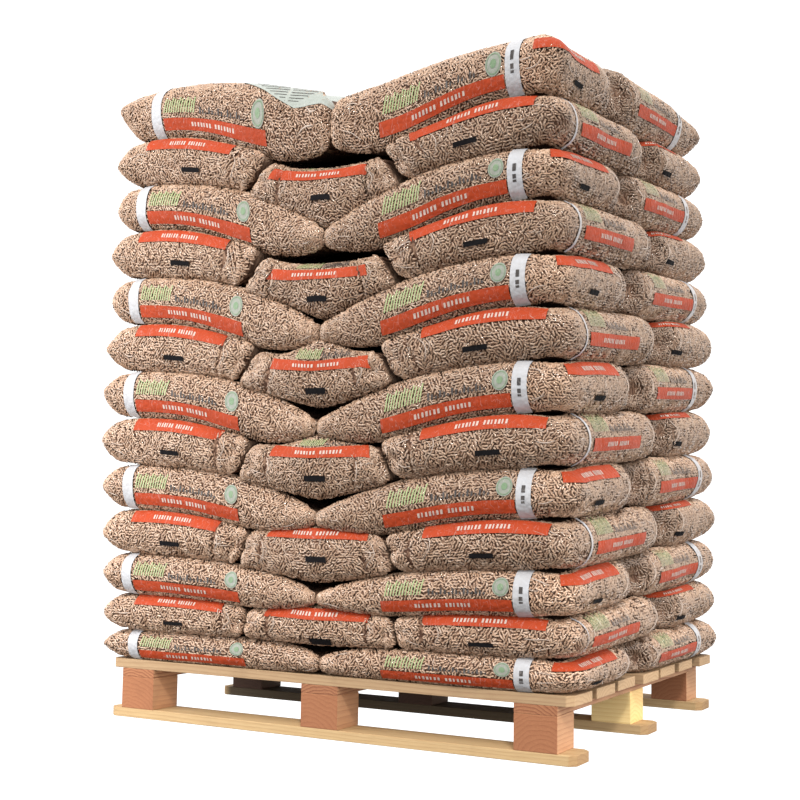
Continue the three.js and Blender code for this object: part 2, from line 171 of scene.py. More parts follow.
class Sack:
    """One pillow sack between its neighbours. Its outline runs anticlockwise, seen from above, from the front's left
    end. A place on its side is a distance along that outline and a tilt, from -90 degrees at its foot to 90."""

    def __init__(self, layer, row, place, x0, x1, y0, y1):
        self.layer = layer
        self.name = f"sack_{layer:02d}_{row}_{place}"
        self.random = np.random.default_rng(SACK_SEED + 100 * layer + len(row) * 10 + len(place))
        self.nominal = {"left": x0, "right": x1, "front": y0, "back": y1}
        self.lengthwise = x1 - x0 > y1 - y0
        limits = {"left": -PALLET_LENGTH / 2, "right": PALLET_LENGTH / 2}
        limits.update({"front": -PALLET_WIDTH / 2, "back": PALLET_WIDTH / 2})
        self.outer = {side: abs(self.nominal[side] - limits[side]) < 0.001 for side in SIDES}
        self.extent = {side: self.side_place(side) for side in SIDES}
        low = np.array([self.extent["left"], self.extent["front"]])
        high = np.array([self.extent["right"], self.extent["back"]])
        self.middle = (low + high) / 2
        self.half = (high - low) / 2
        self.radii = np.array([self.corner_radius(corner) for corner in range(4)])
        parts = []
        for side in range(4):
            length = 2 * self.half[side % 2]
            parts += [length - self.radii[side - 1] - self.radii[side], self.radii[side] * math.pi / 2]
        self.parts = np.array(parts)
        self.part_starts = np.concatenate([[0], np.cumsum(self.parts)])
        self.lean = self.joint_lean()
        self.ears = [self.draw_ear(corner) for corner in range(4)]

    def side_place(self, side):
        """Where a side of the sack lies, along X or Y."""
        sign = 1 if side in ("right", "back") else -1
        if self.outer[side]:
            stray = self.random.uniform(-0.006, 0.003)
            return sign * (reach(side, self.layer - 0.5) + CORNER_REACH[side] + stray)
        place = self.nominal[side] - sign * NEIGHBOUR_GAP
        if self.outer["front"] and not self.lengthwise and self.nominal[side] == SACK_WIDTH / 2:
            place += JOINT_SHIFT * (1 - math.exp(-(self.layer - 1) / VALLEY_GROWTH))
        return place

    def corner_radius(self, corner):
        """The outline's radius at a corner: largest where the film is free, smallest among neighbours."""
        outer_sides = [side for side in (SIDES[corner], SIDES[(corner + 1) % 4]) if self.outer[side]]
        if len(outer_sides) == 1:
            return JOINT_CORNER_RADIUS[outer_sides[0]]
        return FREE_CORNER_RADIUS if outer_sides else PRESSED_CORNER_RADIUS

    def joint_lean(self):
        """How far the joints beside a middle crosswise sack lean over it, between their foot and their top."""
        if self.lengthwise:
            return 0.0
        share = 1 - math.exp(-(self.layer - 1) / VALLEY_GROWTH)
        return SHINGLE * share * (1.0 if self.outer["front"] else BACK_VALLEY_SHARE)

    def draw_ear(self, corner):
        """The crease that sets a corner of the sack off from its side: how far along, how deep and how slanted."""
        sides = (SIDES[corner], SIDES[(corner + 1) % 4])
        at_joint = self.outer[sides[0]] != self.outer[sides[1]]
        beside = sides[0] if self.outer[sides[0]] else sides[1]
        depth = self.random.uniform(0.006, 0.012) if at_joint else self.random.uniform(0.0, 0.003)
        smooth = self.lengthwise and beside == "front"
        return {
            "distance": self.random.uniform(0.045, 0.07),
            "depth": 0.2 * depth if smooth else depth,
            "slant": self.random.uniform(-0.02, 0.02),
            "bend": self.random.uniform(-0.03, 0.05),
            "dimple": self.random.uniform(0.5, 1.0) * (DIMPLE_DEPTH[beside] if at_joint and not smooth else 0.0),
            "beside": beside,
            "tip": self.free_tip() if self.outer[sides[0]] and self.outer[sides[1]] else 0.0,
            "height": self.random.uniform(0.4, 0.6),
        }

    def free_tip(self):
        """How far a free corner sticks out at half the height. The corners of the topmost sacks are pointed."""
        return self.random.uniform(*FREE_TIPS) + max(0.0, 0.016 - 0.01 * (LAYERS - self.layer))

    def rim(self, along):
        """The outline as centres of roundness, directions out and radii."""
        along = np.mod(along, self.part_starts[-1])
        part = np.clip(np.searchsorted(self.part_starts, along, side="right") - 1, 0, 7)
        share = (along - self.part_starts[part]) / self.parts[part]
        side = part // 2
        on_corner = part % 2 == 1
        angle = (side - 1 + np.where(on_corner, share, 0)) * math.pi / 2
        run = np.where(on_corner, 1, share)
        radius = (self.radii[side - 1] * (1 - run) + self.radii[side] * run)[:, None]
        start = self.middle + CORNER_SIGNS[side] * (self.half - self.radii[side - 1][:, None])
        end = self.middle + CORNER_SIGNS[(side + 1) % 4] * (self.half - self.radii[side][:, None])
        out = np.stack([np.cos(angle), np.sin(angle)], 1)
        return start + (end - start) * run[:, None], out, radius

    def plan(self, rim, inset):
        """Plan position of the outline, moved in by inset."""
        centre, out, radius = rim
        in_corner = np.minimum(inset[:, None], 0.85 * radius)
        rest = inset[:, None] - in_corner
        towards_middle = (centre - self.middle) / (self.half - radius)
        return centre + out * (radius - in_corner) - towards_middle * rest

    def blend_sides(self, out, outer_value, inner_value):
        """A value that differs between the outer and the inner sides, blended round the corners."""
        weights = {"right": np.clip(out[:, 0], 0, 1), "left": np.clip(-out[:, 0], 0, 1)}
        weights.update({"back": np.clip(out[:, 1], 0, 1), "front": np.clip(-out[:, 1], 0, 1)})
        if not isinstance(outer_value, dict):
            outer_value = dict.fromkeys(SIDES, outer_value)
        return sum(weights[side] ** 2 * (outer_value[side] if self.outer[side] else inner_value) for side in SIDES)

    def side_distances(self, x, y):
        """How far the places (x, y) are from each side."""
        place = {"left": x, "right": x, "front": y, "back": y}
        return {side: np.abs(place[side] - self.extent[side]) for side in SIDES}

    def losses(self, x, y):
        """What the sack's edges and corners lack of the full thickness, above and below, as shares of it."""
        away = self.side_distances(x, y)
        on_top = self.layer == LAYERS
        above = np.zeros_like(x)
        below = np.zeros_like(x)
        for side in SIDES:
            if not self.outer[side]:
                above += (0.2 if on_top else 0.08) * fade(away[side], 0.06 if on_top else 0.04)
                below += 0.06 * fade(away[side], 0.035)
            elif on_top:
                above += TOP_DROOP[side] * fade(away[side], 0.16)
        for corner, side in enumerate(SIDES):
            other = SIDES[(corner + 1) % 4]
            joint = self.outer[side] != self.outer[other]
            pinch = JOINT_PINCH[side if self.outer[side] else other] if joint else FREE_PINCH * (0.6 if on_top else 1)
            near = fade(np.hypot(away[side], away[other]), 0.065 if joint else 0.085)
            above += pinch * near
            below += 0.9 * pinch * near
        if self.lengthwise:
            end = "right" if not self.outer["right"] else "left"
            near = fade(away[end], END_RUN, 1.4)
            above += (0.0 if on_top else END_LOSS) * near
            below += (0.06 if self.layer == 1 else 0.16 if on_top else 0.25 - 0.14 * self.pointed()) * near
        return np.minimum(above, MOST_LOSS[0]), np.minimum(below, MOST_LOSS[1])

    def thickness(self, x, y):
        """The full thickness of the layer."""
        return meeting_height(self.layer, x, y) - meeting_height(self.layer - 1, x, y)

    def pointed(self):
        """How far the middle sacks sink to a point between the ends below them: not at all in the lower layers."""
        return min(1.0, max(0.0, (self.layer - PEAK_LAYERS) / 4))

    def shoulder_loss(self):
        """What a middle sack lacks above, beside its peak, as a share of the thickness."""
        return SHOULDER_LOSS[min((self.layer - 1) // 2, 5)]

    def peak(self, x, y):
        """The rise of a middle sack between the ends of the two sacks above it."""
        if not self.name.endswith("middle") or not 1 < self.layer <= PEAK_LAYERS:
            return 0.0
        return (0.28 + self.shoulder_loss()) * self.thickness(x, y) * fade(x, 0.075, 1.4)

    def top(self, x, y):
        """Height of the sack's upper face."""
        loss = self.losses(x, y)[0]
        if self.name.endswith("middle") and 1 < self.layer < LAYERS:
            loss = loss + self.shoulder_loss() * fade(x, 0.19, 4)
        stray = CROWN_STRAY.get(self.name[8:], 0.0) if self.layer == LAYERS else 0.0
        return meeting_height(self.layer, x, y) + self.peak(x, y) + stray - loss * self.thickness(x, y)

    def bottom(self, x, y):
        """Height of the sack's lower face."""
        loss = self.losses(x, y)[1]
        if self.name.endswith("middle") and self.layer > 1:
            loss = loss - (0.06 + 0.27 * self.pointed()) * fade(x, 0.085, 1.3)
        return meeting_height(self.layer - 1, x, y) + LAYER_GAP + loss * self.thickness(x, y)

    def ear_creases(self, along, up):
        """How deep the creases beside the corners pull the film in."""
        total = np.zeros_like(along)
        for corner, ear in enumerate(self.ears):
            from_corner = self.from_corner(along, corner)
            line = ear["distance"] + ear["slant"] * (up - 0.5) + ear["bend"] * (up - 0.5) ** 2
            total += ear["depth"] * (fade(from_corner - line, 0.005) - 0.3 * fade(from_corner - line + 0.02, 0.016))
            level = up - ear["height"]
            total += ear["dimple"] * fade(from_corner, 0.03) * fade(level, 0.25)
            total -= ear["tip"] * fade(from_corner, 0.04, 1.5) * fade(level, 0.25, 1.5)
        return total

    def from_corner(self, along, corner):
        """How far a place on the outline lies from the middle of a corner."""
        centre = (self.part_starts[2 * corner + 1] + self.part_starts[2 * corner + 2]) / 2
        total = self.part_starts[-1]
        return np.abs(np.mod(along - centre + total / 2, total) - total / 2)

    def painted_light_and_shade(self, along):
        """Painted light and shade on the pellets: painted shade in the joints of every side but the front, a painted
        highlight at the right end of the lengthwise sacks, and painted shade right of the front's joint."""
        shade = np.ones_like(along)
        for corner, ear in enumerate(self.ears):
            if ear["dimple"] and ear["beside"] != "front":
                shade -= JOINT_SHADE * fade(self.from_corner(along, corner), 0.075, 4)
        if self.lengthwise and self.outer["front"] and self.outer["right"]:
            shade += 0.25 * fade(self.from_corner(along, 0), 0.11, 4)
        if self.outer["front"] and not self.name.endswith("left") and 3 < self.layer < LAYERS:
            shade *= 0.87
        return shade

    def crumple(self, along, points):
        """Sharp folds of the film close to a joint."""
        total = np.zeros_like(along)
        for corner, ear in enumerate(self.ears):
            if ear["dimple"]:
                total += fade(self.from_corner(along, corner), 0.07, 4)
        folds = np.abs(lumps(points, SACK_SEED + 3 * self.layer, 0.028)) - 0.5
        return CRUMPLE_HEIGHT * total * folds

    def side_points(self, along, tilt):
        """Points on the sack's round side."""
        rim = self.rim(along)
        out = rim[1]
        fullness = self.blend_sides(out, OUTER_FULLNESS, INNER_FULLNESS)
        bulge = np.abs(np.cos(tilt)) ** (2 / fullness)
        up = height_share(tilt, fullness)
        round_below = self.blend_sides(out, OUTER_ROUND, INNER_ROUND)
        round_above = round_below
        if self.layer == LAYERS:
            round_above = self.blend_sides(out, TOP_ROUND, TOP_INNER_ROUND)
        inset = np.where(tilt > 0, round_above, round_below) * (1 - bulge)
        edge_above = self.plan(rim, round_above)
        edge_below = self.plan(rim, round_below)
        low = self.bottom(edge_below[:, 0], edge_below[:, 1])
        high = self.top(edge_above[:, 0], edge_above[:, 1])
        place = self.plan(rim, inset)
        place[:, 0] += self.leaning(place[:, 0], up)
        points = np.column_stack([place, low + (high - low) * up])
        free = self.blend_sides(out, 1.0, 0.15) * bulge
        swell = LUMP_HEIGHT * lumps(points, SACK_SEED + self.layer, 0.11)
        swell += SMALL_LUMP_HEIGHT * lumps(points, 7, 0.035)
        pull = self.ear_creases(along, up) + self.crumple(along, points) + SLACK
        points[:, :2] += out * (free * (swell - pull))[:, None]
        return points

    def print_span(self, along):
        """Where a print's height counts as 0 and as 1, in shares of the sack's own. Prints on the middle sacks stay
        level, while the sack rises in a peak or sinks to a point."""
        if not self.name.endswith("middle"):
            return 0.0, 1.0
        centre, _, _ = self.rim(along)
        x, y = centre[:, 0], centre[:, 1]
        low = self.bottom(x, y)
        height = self.top(x, y) - low
        shoulder = height - self.peak(x, y)
        return (shoulder - 0.1) / height, shoulder / height

    def leaning(self, x, up):
        """Shift along X near a joint that leans over the middle sack."""
        if self.lean == 0:
            return 0
        return -np.sign(x) * self.lean * fade(np.abs(x) - SACK_WIDTH / 2, 0.07) * (up - 0.45)

    def tilt_of(self, up, along):
        """The tilt at a height that is given as a share of the sack's own."""
        _, out, _ = self.rim(along)
        fullness = self.blend_sides(out, OUTER_FULLNESS, INNER_FULLNESS)
        centred = np.clip(2 * up - 1, -1, 1)
        return np.arcsin(np.sign(centred) * np.abs(centred) ** (fullness / 2))

    def side_frames(self, along, tilt):
        """Points on the side with the film's direction along the outline, its direction up and its normal."""
        step = 0.0015
        turn = 0.02
        points = self.side_points(along, tilt)
        onward = unit(self.side_points(along + step, tilt) - self.side_points(along - step, tilt))
        above = self.side_points(along, np.minimum(tilt + turn, 1.57))
        below = self.side_points(along, np.maximum(tilt - turn, -1.57))
        normal = unit(np.cross(onward, above - below))
        return points, onward, np.cross(normal, onward), normal

    def along_of(self, side, distance):
        """Where a point lies on the outline that is so far from the left end of a side, seen from outside."""
        number = SIDES.index(side)
        start = {"front": "left", "right": "front", "back": "right", "left": "back"}[side]
        sign = 1 if start in ("left", "front") else -1
        shift = sign * (self.nominal[start] - self.extent[start])
        return self.part_starts[2 * number] + distance + shift - self.radii[number - 1]

    def face_points(self, x, y):
        """Points on top of the sack."""
        points = np.column_stack([x, y, self.top(x, y)])
        points[:, 2] += LUMP_HEIGHT * lumps(points, SACK_SEED + self.layer, 0.11)
        points[:, 2] += SMALL_LUMP_HEIGHT * lumps(points, 7, 0.035)
        return points


def height_share(tilt, fullness):
    """The height at a tilt, from 0 at the sack's foot to 1."""
    return 0.5 + 0.5 * np.sign(np.sin(tilt)) * np.abs(np.sin(tilt)) ** (2 / fullness)


def unit(vectors):
    return vectors / np.maximum(np.linalg.norm(vectors, axis=1), 1e-9)[:, None]


def layer_sacks(layer):
    """The five sacks of a layer. Odd layers have two lengthwise sacks at the front, and even layers at the back."""
    half_length = PALLET_LENGTH / 2
    half_width = PALLET_WIDTH / 2
    lengthwise_row, crosswise_row = ("front", "back") if layer % 2 else ("back", "front")
    split = SACK_WIDTH - half_width if layer % 2 else SACK_LENGTH - half_width
    spans = {"front": (-half_width, split), "back": (split, half_width)}
    sacks = []
    for place, x0 in (("left", -half_length), ("right", 0.0)):
        sacks.append(Sack(layer, lengthwise_row, place, x0, x0 + SACK_LENGTH, *spans[lengthwise_row]))
    for place, x0 in (("left", -half_length), ("middle", -SACK_WIDTH / 2), ("right", SACK_WIDTH / 2)):
        sacks.append(Sack(layer, crosswise_row, place, x0, x0 + SACK_WIDTH, *spans[crosswise_row]))
    return sacks


ALL_SACKS = [sack for layer in range(1, LAYERS + 1) for sack in layer_sacks(layer)]


def linked(name, data):
    """An object in the scene, with this mesh, light or camera."""
    made = bpy.data.objects.new(name, data)
    bpy.context.scene.collection.objects.link(made)
    return made


def new_object(name, points, faces, materials, face_material=None):
    mesh = bpy.data.meshes.new(name)
    mesh.from_pydata([tuple(p) for p in points], [], faces)
    for material in materials:
        mesh.materials.append(material)
    if face_material is not None:
        mesh.polygons.foreach_set("material_index", np.asarray(face_material, np.int32))
    mesh.polygons.foreach_set("use_smooth", np.ones(len(faces), bool))
    mesh.update()
    return linked(name, mesh)


def add_uv(piece, name, vertex_uv):
    """A UV map with one place for each vertex."""
    mesh = piece.data
    layer = mesh.uv_layers.new(name=name)
    corners = np.zeros(len(mesh.loops), np.int32)
    mesh.loops.foreach_get("vertex_index", corners)
    layer.data.foreach_set("uv", np.asarray(vertex_uv, np.float32)[corners].ravel())


def add_attribute(mesh, name, values):
    """A number or a vector for each vertex, for the materials."""
    kind, field = ("FLOAT", "value") if values.ndim == 1 else ("FLOAT_VECTOR", "vector")
    attribute = mesh.attributes.new(name, kind, "POINT")
    attribute.data.foreach_set(field, values.astype(np.float32).ravel())


class Nodes:
    """A short way to write a tree of shader nodes."""

    def __init__(self, tree):
        self.tree = tree

    def add(self, kind, settings=None, **inputs):
        node = self.tree.nodes.new("ShaderNode" + kind)
        for key, value in (settings or {}).items():
            setattr(node, key, value)
        for key, value in inputs.items():
            self.set(node, int(key[1:]) if key[0] == "i" and key[1:].isdigit() else key.replace("_", " "), value)
        return node

    def set(self, node, socket, value):
        target = node.inputs[socket]
        if isinstance(value, bpy.types.NodeSocket):
            self.tree.links.new(value, target)
        else:
            target.default_value = value

    def math(self, operation, a, b=0.0, c=0.0, clamp=False):
        node = self.add("Math", {"operation": operation, "use_clamp": clamp}, i0=a, i1=b, i2=c)
        return node.outputs[0]

    def plus(self, a, b):
        return self.math("ADD", a, b)

    def minus(self, a, b):
        return self.math("SUBTRACT", a, b)

    def times(self, a, b):
        return self.math("MULTIPLY", a, b)

    def slope(self, value, factor, offset):
        """value * factor + offset, kept between 0 and 1."""
        return self.math("MULTIPLY_ADD", value, factor, offset, clamp=True)

    def vector_math(self, operation, a, b=(0, 0, 0), scale=1.0):
        return self.add("VectorMath", {"operation": operation}, i0=a, i1=b, i3=scale).outputs[0]

    def split(self, vector):
        """The three parts of a vector."""
        return self.add("SeparateXYZ", Vector=vector).outputs

    def attribute(self, name, output="Vector"):
        return self.add("Attribute", {"attribute_name": name}).outputs[output]

    def normal(self):
        return self.add("NewGeometry").outputs["Normal"]

    def noise(self, vector, scale, detail=2.0, roughness=0.5, distortion=0.0):
        settings = {"Scale": scale, "Detail": detail, "Roughness": roughness, "Distortion": distortion}
        return self.add("TexNoise", Vector=vector, **settings).outputs["Fac"]

    def ramp(self, value, stops):
        node = self.add("ValToRGB", Fac=value)
        ramp = node.color_ramp
        while len(ramp.elements) < len(stops):
            ramp.elements.new(0.5)
        for element, (place, colour) in zip(ramp.elements, stops):
            element.position = place
            element.color = (*colour, 1)
        return node.outputs["Color"]

    def mix(self, share, a, b, blend="MIX"):
        node = self.tree.nodes.new("ShaderNodeMix")
        node.data_type = "RGBA"
        node.blend_type = blend
        for socket, value in (("Factor_Float", share), ("A_Color", a), ("B_Color", b)):
            number = next(i for i, s in enumerate(node.inputs) if s.identifier == socket)
            self.set(node, number, (*value, 1) if isinstance(value, tuple) else value)
        return next(s for s in node.outputs if s.identifier == "Result_Color")

    def position(self):
        return self.add("NewGeometry").outputs["Position"]

    def bump(self, height, strength, distance, normal=None):
        node = self.add("Bump", Height=height, Strength=strength, Distance=distance)
        if normal is not None:
            self.set(node, "Normal", normal)
        return node.outputs["Normal"]


class Shader(Nodes):
    """A material."""

    def __init__(self, name):
        self.material = bpy.data.materials.new(name)
        self.material.use_nodes = True
        super().__init__(self.material.node_tree)

    def finish(self, **inputs):
        for key, value in inputs.items():
            self.set(self.tree.nodes["Principled BSDF"], key.replace("_", " "), value)
        return self.material


FILM_IOR = 1.5
# Colour of the painted sheen on the sides of the sacks that face +X
SHEEN_COLOUR = (0.365, 0.25, 0.175)
# Painted shade where neighbouring pellets meet:
RIM_SHADE = 0.52  # how much darker a pellet is along its edges and at its ends


def film_wrinkles(shader, normal=None):
    """The clear film's small creases, for its gloss."""
    position = shader.position()
    soft = shader.noise(position, 34.0, 2.0, 0.5, 0.8)
    fine = shader.noise(position, 130.0, 1.0, 0.5, 0.4)
    height = shader.plus(soft, shader.times(fine, 0.35))
    return shader.bump(height, 0.55, 0.004, normal)


def painted_sheen(shader, normal, colour, share):
    """Painted sheen: the colour mixed towards a pale sheen colour on the side that faces +X, where the film reflects
    the bright surroundings.
    """
    facing = shader.slope(shader.split(normal)[0], 4.0, -2.9)
    return shader.mix(shader.times(facing, share), colour, SHEEN_COLOUR)


def pellet_material(number, colour):
    """One tone of pellet, seen through the film that covers it."""
    shader = Shader(f"wood_pellet_{number}")
    film = shader.attribute("film_normal")
    # bright is the pellet's painted light and shade, given by the sack
    along, across, bright = shader.split(shader.attribute("rod_place"))
    # Painted shade along each pellet's edges and at its ends
    at_end = shader.slope(shader.math("ABSOLUTE", along), 4.0, -3.0)
    at_side = shader.slope(across, 1.8, -0.8)
    rim = shader.times(shader.math("MAXIMUM", at_end, at_side), RIM_SHADE)
    light = shader.times(shader.minus(1.0, rim), bright)
    rimmed = shader.vector_math("SCALE", colour, scale=light)
    # Painted sheen on the side that faces +X
    tinted = painted_sheen(shader, film, rimmed, 0.75)
    between = shader.vector_math("NORMALIZE", shader.vector_math("ADD", film, shader.normal()))
    return shader.finish(
        Base_Color=tinted,
        Roughness=0.8,
        Specular_IOR_Level=0.3,
        Coat_Weight=0.9,
        Coat_Roughness=0.11,
        Coat_IOR=FILM_IOR,
        Coat_Normal=film_wrinkles(shader, between),
    )


def pellet_pattern(shader, uv, cell, turn, offset):
    """One sheet of pellets drawn on the film's UV map: the height of each pellet and a random number for it."""
    spin = shader.add("VectorRotate", {"rotation_type": "Z_AXIS"}, Vector=uv, Angle=turn).outputs[0]
    moved = shader.vector_math("ADD", shader.vector_math("SCALE", spin, scale=1 / cell), (offset, 1.7 * offset, 0))
    corner = shader.vector_math("FLOOR", moved)
    centred = shader.vector_math("SUBTRACT", shader.vector_math("SUBTRACT", moved, corner), (0.5, 0.5, 0))
    chance = shader.add("TexWhiteNoise", {"noise_dimensions": "3D"}, Vector=corner).outputs["Value"]
    angle = shader.times(chance, 2 * math.pi)
    turned = shader.add("VectorRotate", {"rotation_type": "Z_AXIS"}, Vector=centred, Angle=angle).outputs[0]
    along, across, _ = shader.split(turned)
    beyond = shader.math("MAXIMUM", shader.minus(shader.math("ABSOLUTE", along), 0.3), 0)
    square = shader.plus(shader.times(beyond, beyond), shader.times(across, across))
    height = shader.math("SQRT", shader.math("MAXIMUM", shader.minus(0.17**2, square), 0))
    return shader.times(height, 1 / 0.17), chance


# Three sheets of pellets, one above the other: their size, turn and shift
FILM_SHEETS = ((0.019, 0.3, 3.3), (0.0187, 1.2, 17.7), (0.0193, 2.2, 41.1))
# The film is coloured darker than the pellets as painted shade between the pellets in front of it, and darkest in the
# gaps between the pellets drawn on it, also painted shade
FILM_TONES = ((0.0, (0.16, 0.085, 0.053)), (0.5, (0.22, 0.125, 0.08)), (1.0, (0.29, 0.175, 0.115)))
FILM_GAP_SHADE = (0.085, 0.04, 0.024)


def filled_film_material():
    """Clear film with pellets close behind it."""
    shader = Shader("filled_film")
    uv = shader.add("UVMap", {"uv_map": "film"}).outputs["UV"]
    height, tone = pellet_pattern(shader, uv, *FILM_SHEETS[0])
    for number, sheet in enumerate(FILM_SHEETS[1:], 1):
        sheet_height, chance = pellet_pattern(shader, uv, *sheet)
        lowered = shader.minus(sheet_height, 0.12 * number)
        above = shader.math("GREATER_THAN", lowered, height)
        height = shader.math("MAXIMUM", lowered, height)
        tone = shader.math("MULTIPLY_ADD", shader.minus(chance, tone), above, tone)
    # Painted shade in the gaps between the drawn pellets
    shade = shader.slope(height, 1.5, -0.1)
    colour = shader.mix(shade, FILM_GAP_SHADE, shader.ramp(tone, FILM_TONES))
    # Painted sheen on the side that faces +X
    colour = painted_sheen(shader, shader.normal(), colour, 0.7)
    relief = shader.bump(height, 1.0, 0.003)
    return shader.finish(Base_Color=colour, Roughness=0.75, Normal=relief, Specular_IOR_Level=0.2)


def printed_material(name, colour, worn, roughness=0.45, streak_highlights=0.15, gloss=0.35, sheen_share=0.3):
    """Printed film: its colour, creased and a little worn, with pale streaks painted as highlights along its creases,
    over the bumps of the pellets.
    """
    shader = Shader(name)
    position = shader.position()
    fine = shader.noise(position, 160.0, 2.0, 0.6)
    broad = shader.noise(position, 22.0, 3.0, 0.6)
    share = shader.slope(shader.plus(fine, broad), 0.9, -0.55)
    tint = shader.mix(share, colour, worn)
    # Painted highlights: pale streaks along the film's creases
    stretched = shader.add("Mapping", Vector=position, Scale=(30, 30, 9)).outputs[0]
    streak = shader.noise(stretched, 3.2, 1.0, 0.5, 0.6)
    off_line = shader.math("ABSOLUTE", shader.minus(streak, 0.5))
    line = shader.slope(off_line, -60.0, 1.0)
    tint = shader.mix(shader.times(line, streak_highlights), tint, (0.85, 0.8, 0.76))
    # Painted sheen on the side that faces +X
    tint = painted_sheen(shader, shader.normal(), tint, sheen_share)
    voronoi = shader.add("TexVoronoi", Vector=position, Scale=95.0).outputs["Distance"]
    height = shader.math("MULTIPLY_ADD", voronoi, -0.7, shader.times(broad, 1.2))
    return shader.finish(
        Base_Color=tint,
        Roughness=roughness,
        Normal=shader.bump(height, 0.5, 0.004),
        Specular_IOR_Level=0.15,
        Coat_Weight=gloss,
        Coat_Roughness=0.2,
        Coat_IOR=FILM_IOR,
        Coat_Normal=film_wrinkles(shader),
    )


MATERIALS = {
    "film": filled_film_material(),
    "stripe": printed_material("printed_stripe", (0.47, 0.058, 0.016), (0.34, 0.052, 0.018), 0.6, 0.15, 0.03, 0.0),
    "white": printed_material("printed_white", (0.62, 0.50, 0.44), (0.55, 0.40, 0.33)),
    "band": printed_material("printed_band", (0.55, 0.56, 0.59), (0.44, 0.42, 0.41)),
    "green": printed_material("printed_green", (0.36, 0.47, 0.20), (0.42, 0.42, 0.24), sheen_share=0.5),
    "pale": printed_material("printed_pale_green", (0.29, 0.32, 0.27), (0.28, 0.27, 0.22)),
    "leaf": printed_material("printed_leaf_green", (0.16, 0.27, 0.15), (0.24, 0.30, 0.18)),
    "panel": printed_material("printed_panel", (0.42, 0.45, 0.41), (0.30, 0.33, 0.29)),
    "grey": printed_material("printed_grey", (0.045, 0.042, 0.042), (0.12, 0.10, 0.09), gloss=0.1),
    "dark": printed_material("printed_dark", (0.008, 0.007, 0.008), (0.008, 0.007, 0.008), 0.9, 0.0, 0.0, 0.0),
    # The pleats are raised folds; their pale colour is a painted highlight along them
    "clear": printed_material("clear_fold", (0.62, 0.50, 0.42), (0.48, 0.36, 0.28), 0.2),
}
TONES = (
    (0.66, 0.44, 0.30),
    (0.60, 0.39, 0.26),
    (0.72, 0.51, 0.37),
    (0.54, 0.34, 0.225),
    (0.63, 0.42, 0.285),
    (0.48, 0.295, 0.19),
)
PELLET_MATERIALS = [pellet_material(number, colour) for number, colour in enumerate(TONES)]


OUTER_SPACING = 0.018  # of the mesh's columns on the outer sides
CORNER_STEPS = {2: 9, 1: 8, 0: 3}  # by how many of the two sides are outer ones
INNER_STEPS = 5
SIDE_ROWS = 11
HIDDEN_RINGS = (0.0, 0.2, 0.55)  # rings on faces that other sacks hide, as shares of the way to the middle
SIDE_HEIGHT = 0.11  # of a sack's side on the UV map


def outline_stations(sack):
    """Distances along the outline at which the sack's mesh has its columns."""
    stations = []
    for part in range(8):
        side = SIDES[part // 2]
        other = SIDES[(part // 2 + 1) % 4]
        if part % 2 == 0:
            steps = math.ceil(sack.parts[part] / OUTER_SPACING) if sack.outer[side] else INNER_STEPS
        else:
            steps = CORNER_STEPS[int(sack.outer[side]) + int(sack.outer[other])]
        start, end = sack.part_starts[part], sack.part_starts[part + 1]
        stations.append(np.linspace(start, end, steps, endpoint=False))
    return np.concatenate(stations)


def sack_object(sack):
    """The sack as one closed mesh: rings of points from the middle of its underside to the middle of its top."""
    stations = outline_stations(sack)
    count = len(stations)
    tilts = np.linspace(-math.pi / 2, math.pi / 2, SIDE_ROWS)
    rows = [sack.side_points(stations, np.full(count, tilt)) for tilt in tilts]
    uvs = [np.column_stack([stations, np.full(count, SIDE_HEIGHT * number / SIDE_ROWS)]) for number in range(SIDE_ROWS)]

    def inner_rows(edge, height, rings):
        made = []
        for share in rings[1:]:
            place = sack.middle + (edge[:, :2] - sack.middle) * (1 - share)
            made.append(np.column_stack([place, height(place[:, 0], place[:, 1])]))
        centre = sack.middle[None, :]
        made.append(np.column_stack([centre, height(centre[:, 0], centre[:, 1])]))
        return made

    top_rings = np.linspace(0, 1, 13)[:-1] if sack.layer == LAYERS else HIDDEN_RINGS
    top_height = (lambda x, y: sack.face_points(x, y)[:, 2]) if sack.layer == LAYERS else sack.top
    below = inner_rows(rows[0], sack.bottom, HIDDEN_RINGS)[::-1]
    above = inner_rows(rows[-1], top_height, top_rings)
    points = np.concatenate(below + rows + above)
    flat = [made[:, :2] + 5.0 for made in below], [made[:, :2] + 9.0 for made in above]
    faces = []
    for j in range(count):
        faces.append((0, 1 + (j + 1) % count, 1 + j))
    ring_total = len(below) - 1 + len(rows) + len(above) - 1
    for ring in range(ring_total - 1):
        a = 1 + ring * count
        b = a + count
        for j in range(count):
            k = (j + 1) % count
            faces.append((a + j, a + k, b + k, b + j))
    last = 1 + (ring_total - 1) * count
    for j in range(count):
        faces.append((last + j, last + (j + 1) % count, len(points) - 1))
    piece = new_object(sack.name, points, faces, [MATERIALS["film"]])
    shift = 0.55 + sack.layer * 0.73  # so that no two layers show the same pattern
    add_uv(piece, "film", np.concatenate(flat[0] + uvs + flat[1]) + shift)
    return piece


def visible(sack, out):
    """Where the direction out faces away from the stack."""
    seen = np.zeros(len(out), bool)
    for side, axis, sign in (("right", 0, 1), ("left", 0, -1), ("back", 1, 1), ("front", 1, -1)):
        seen |= sack.outer[side] & (sign * out[:, axis] > 0.2)
    return seen


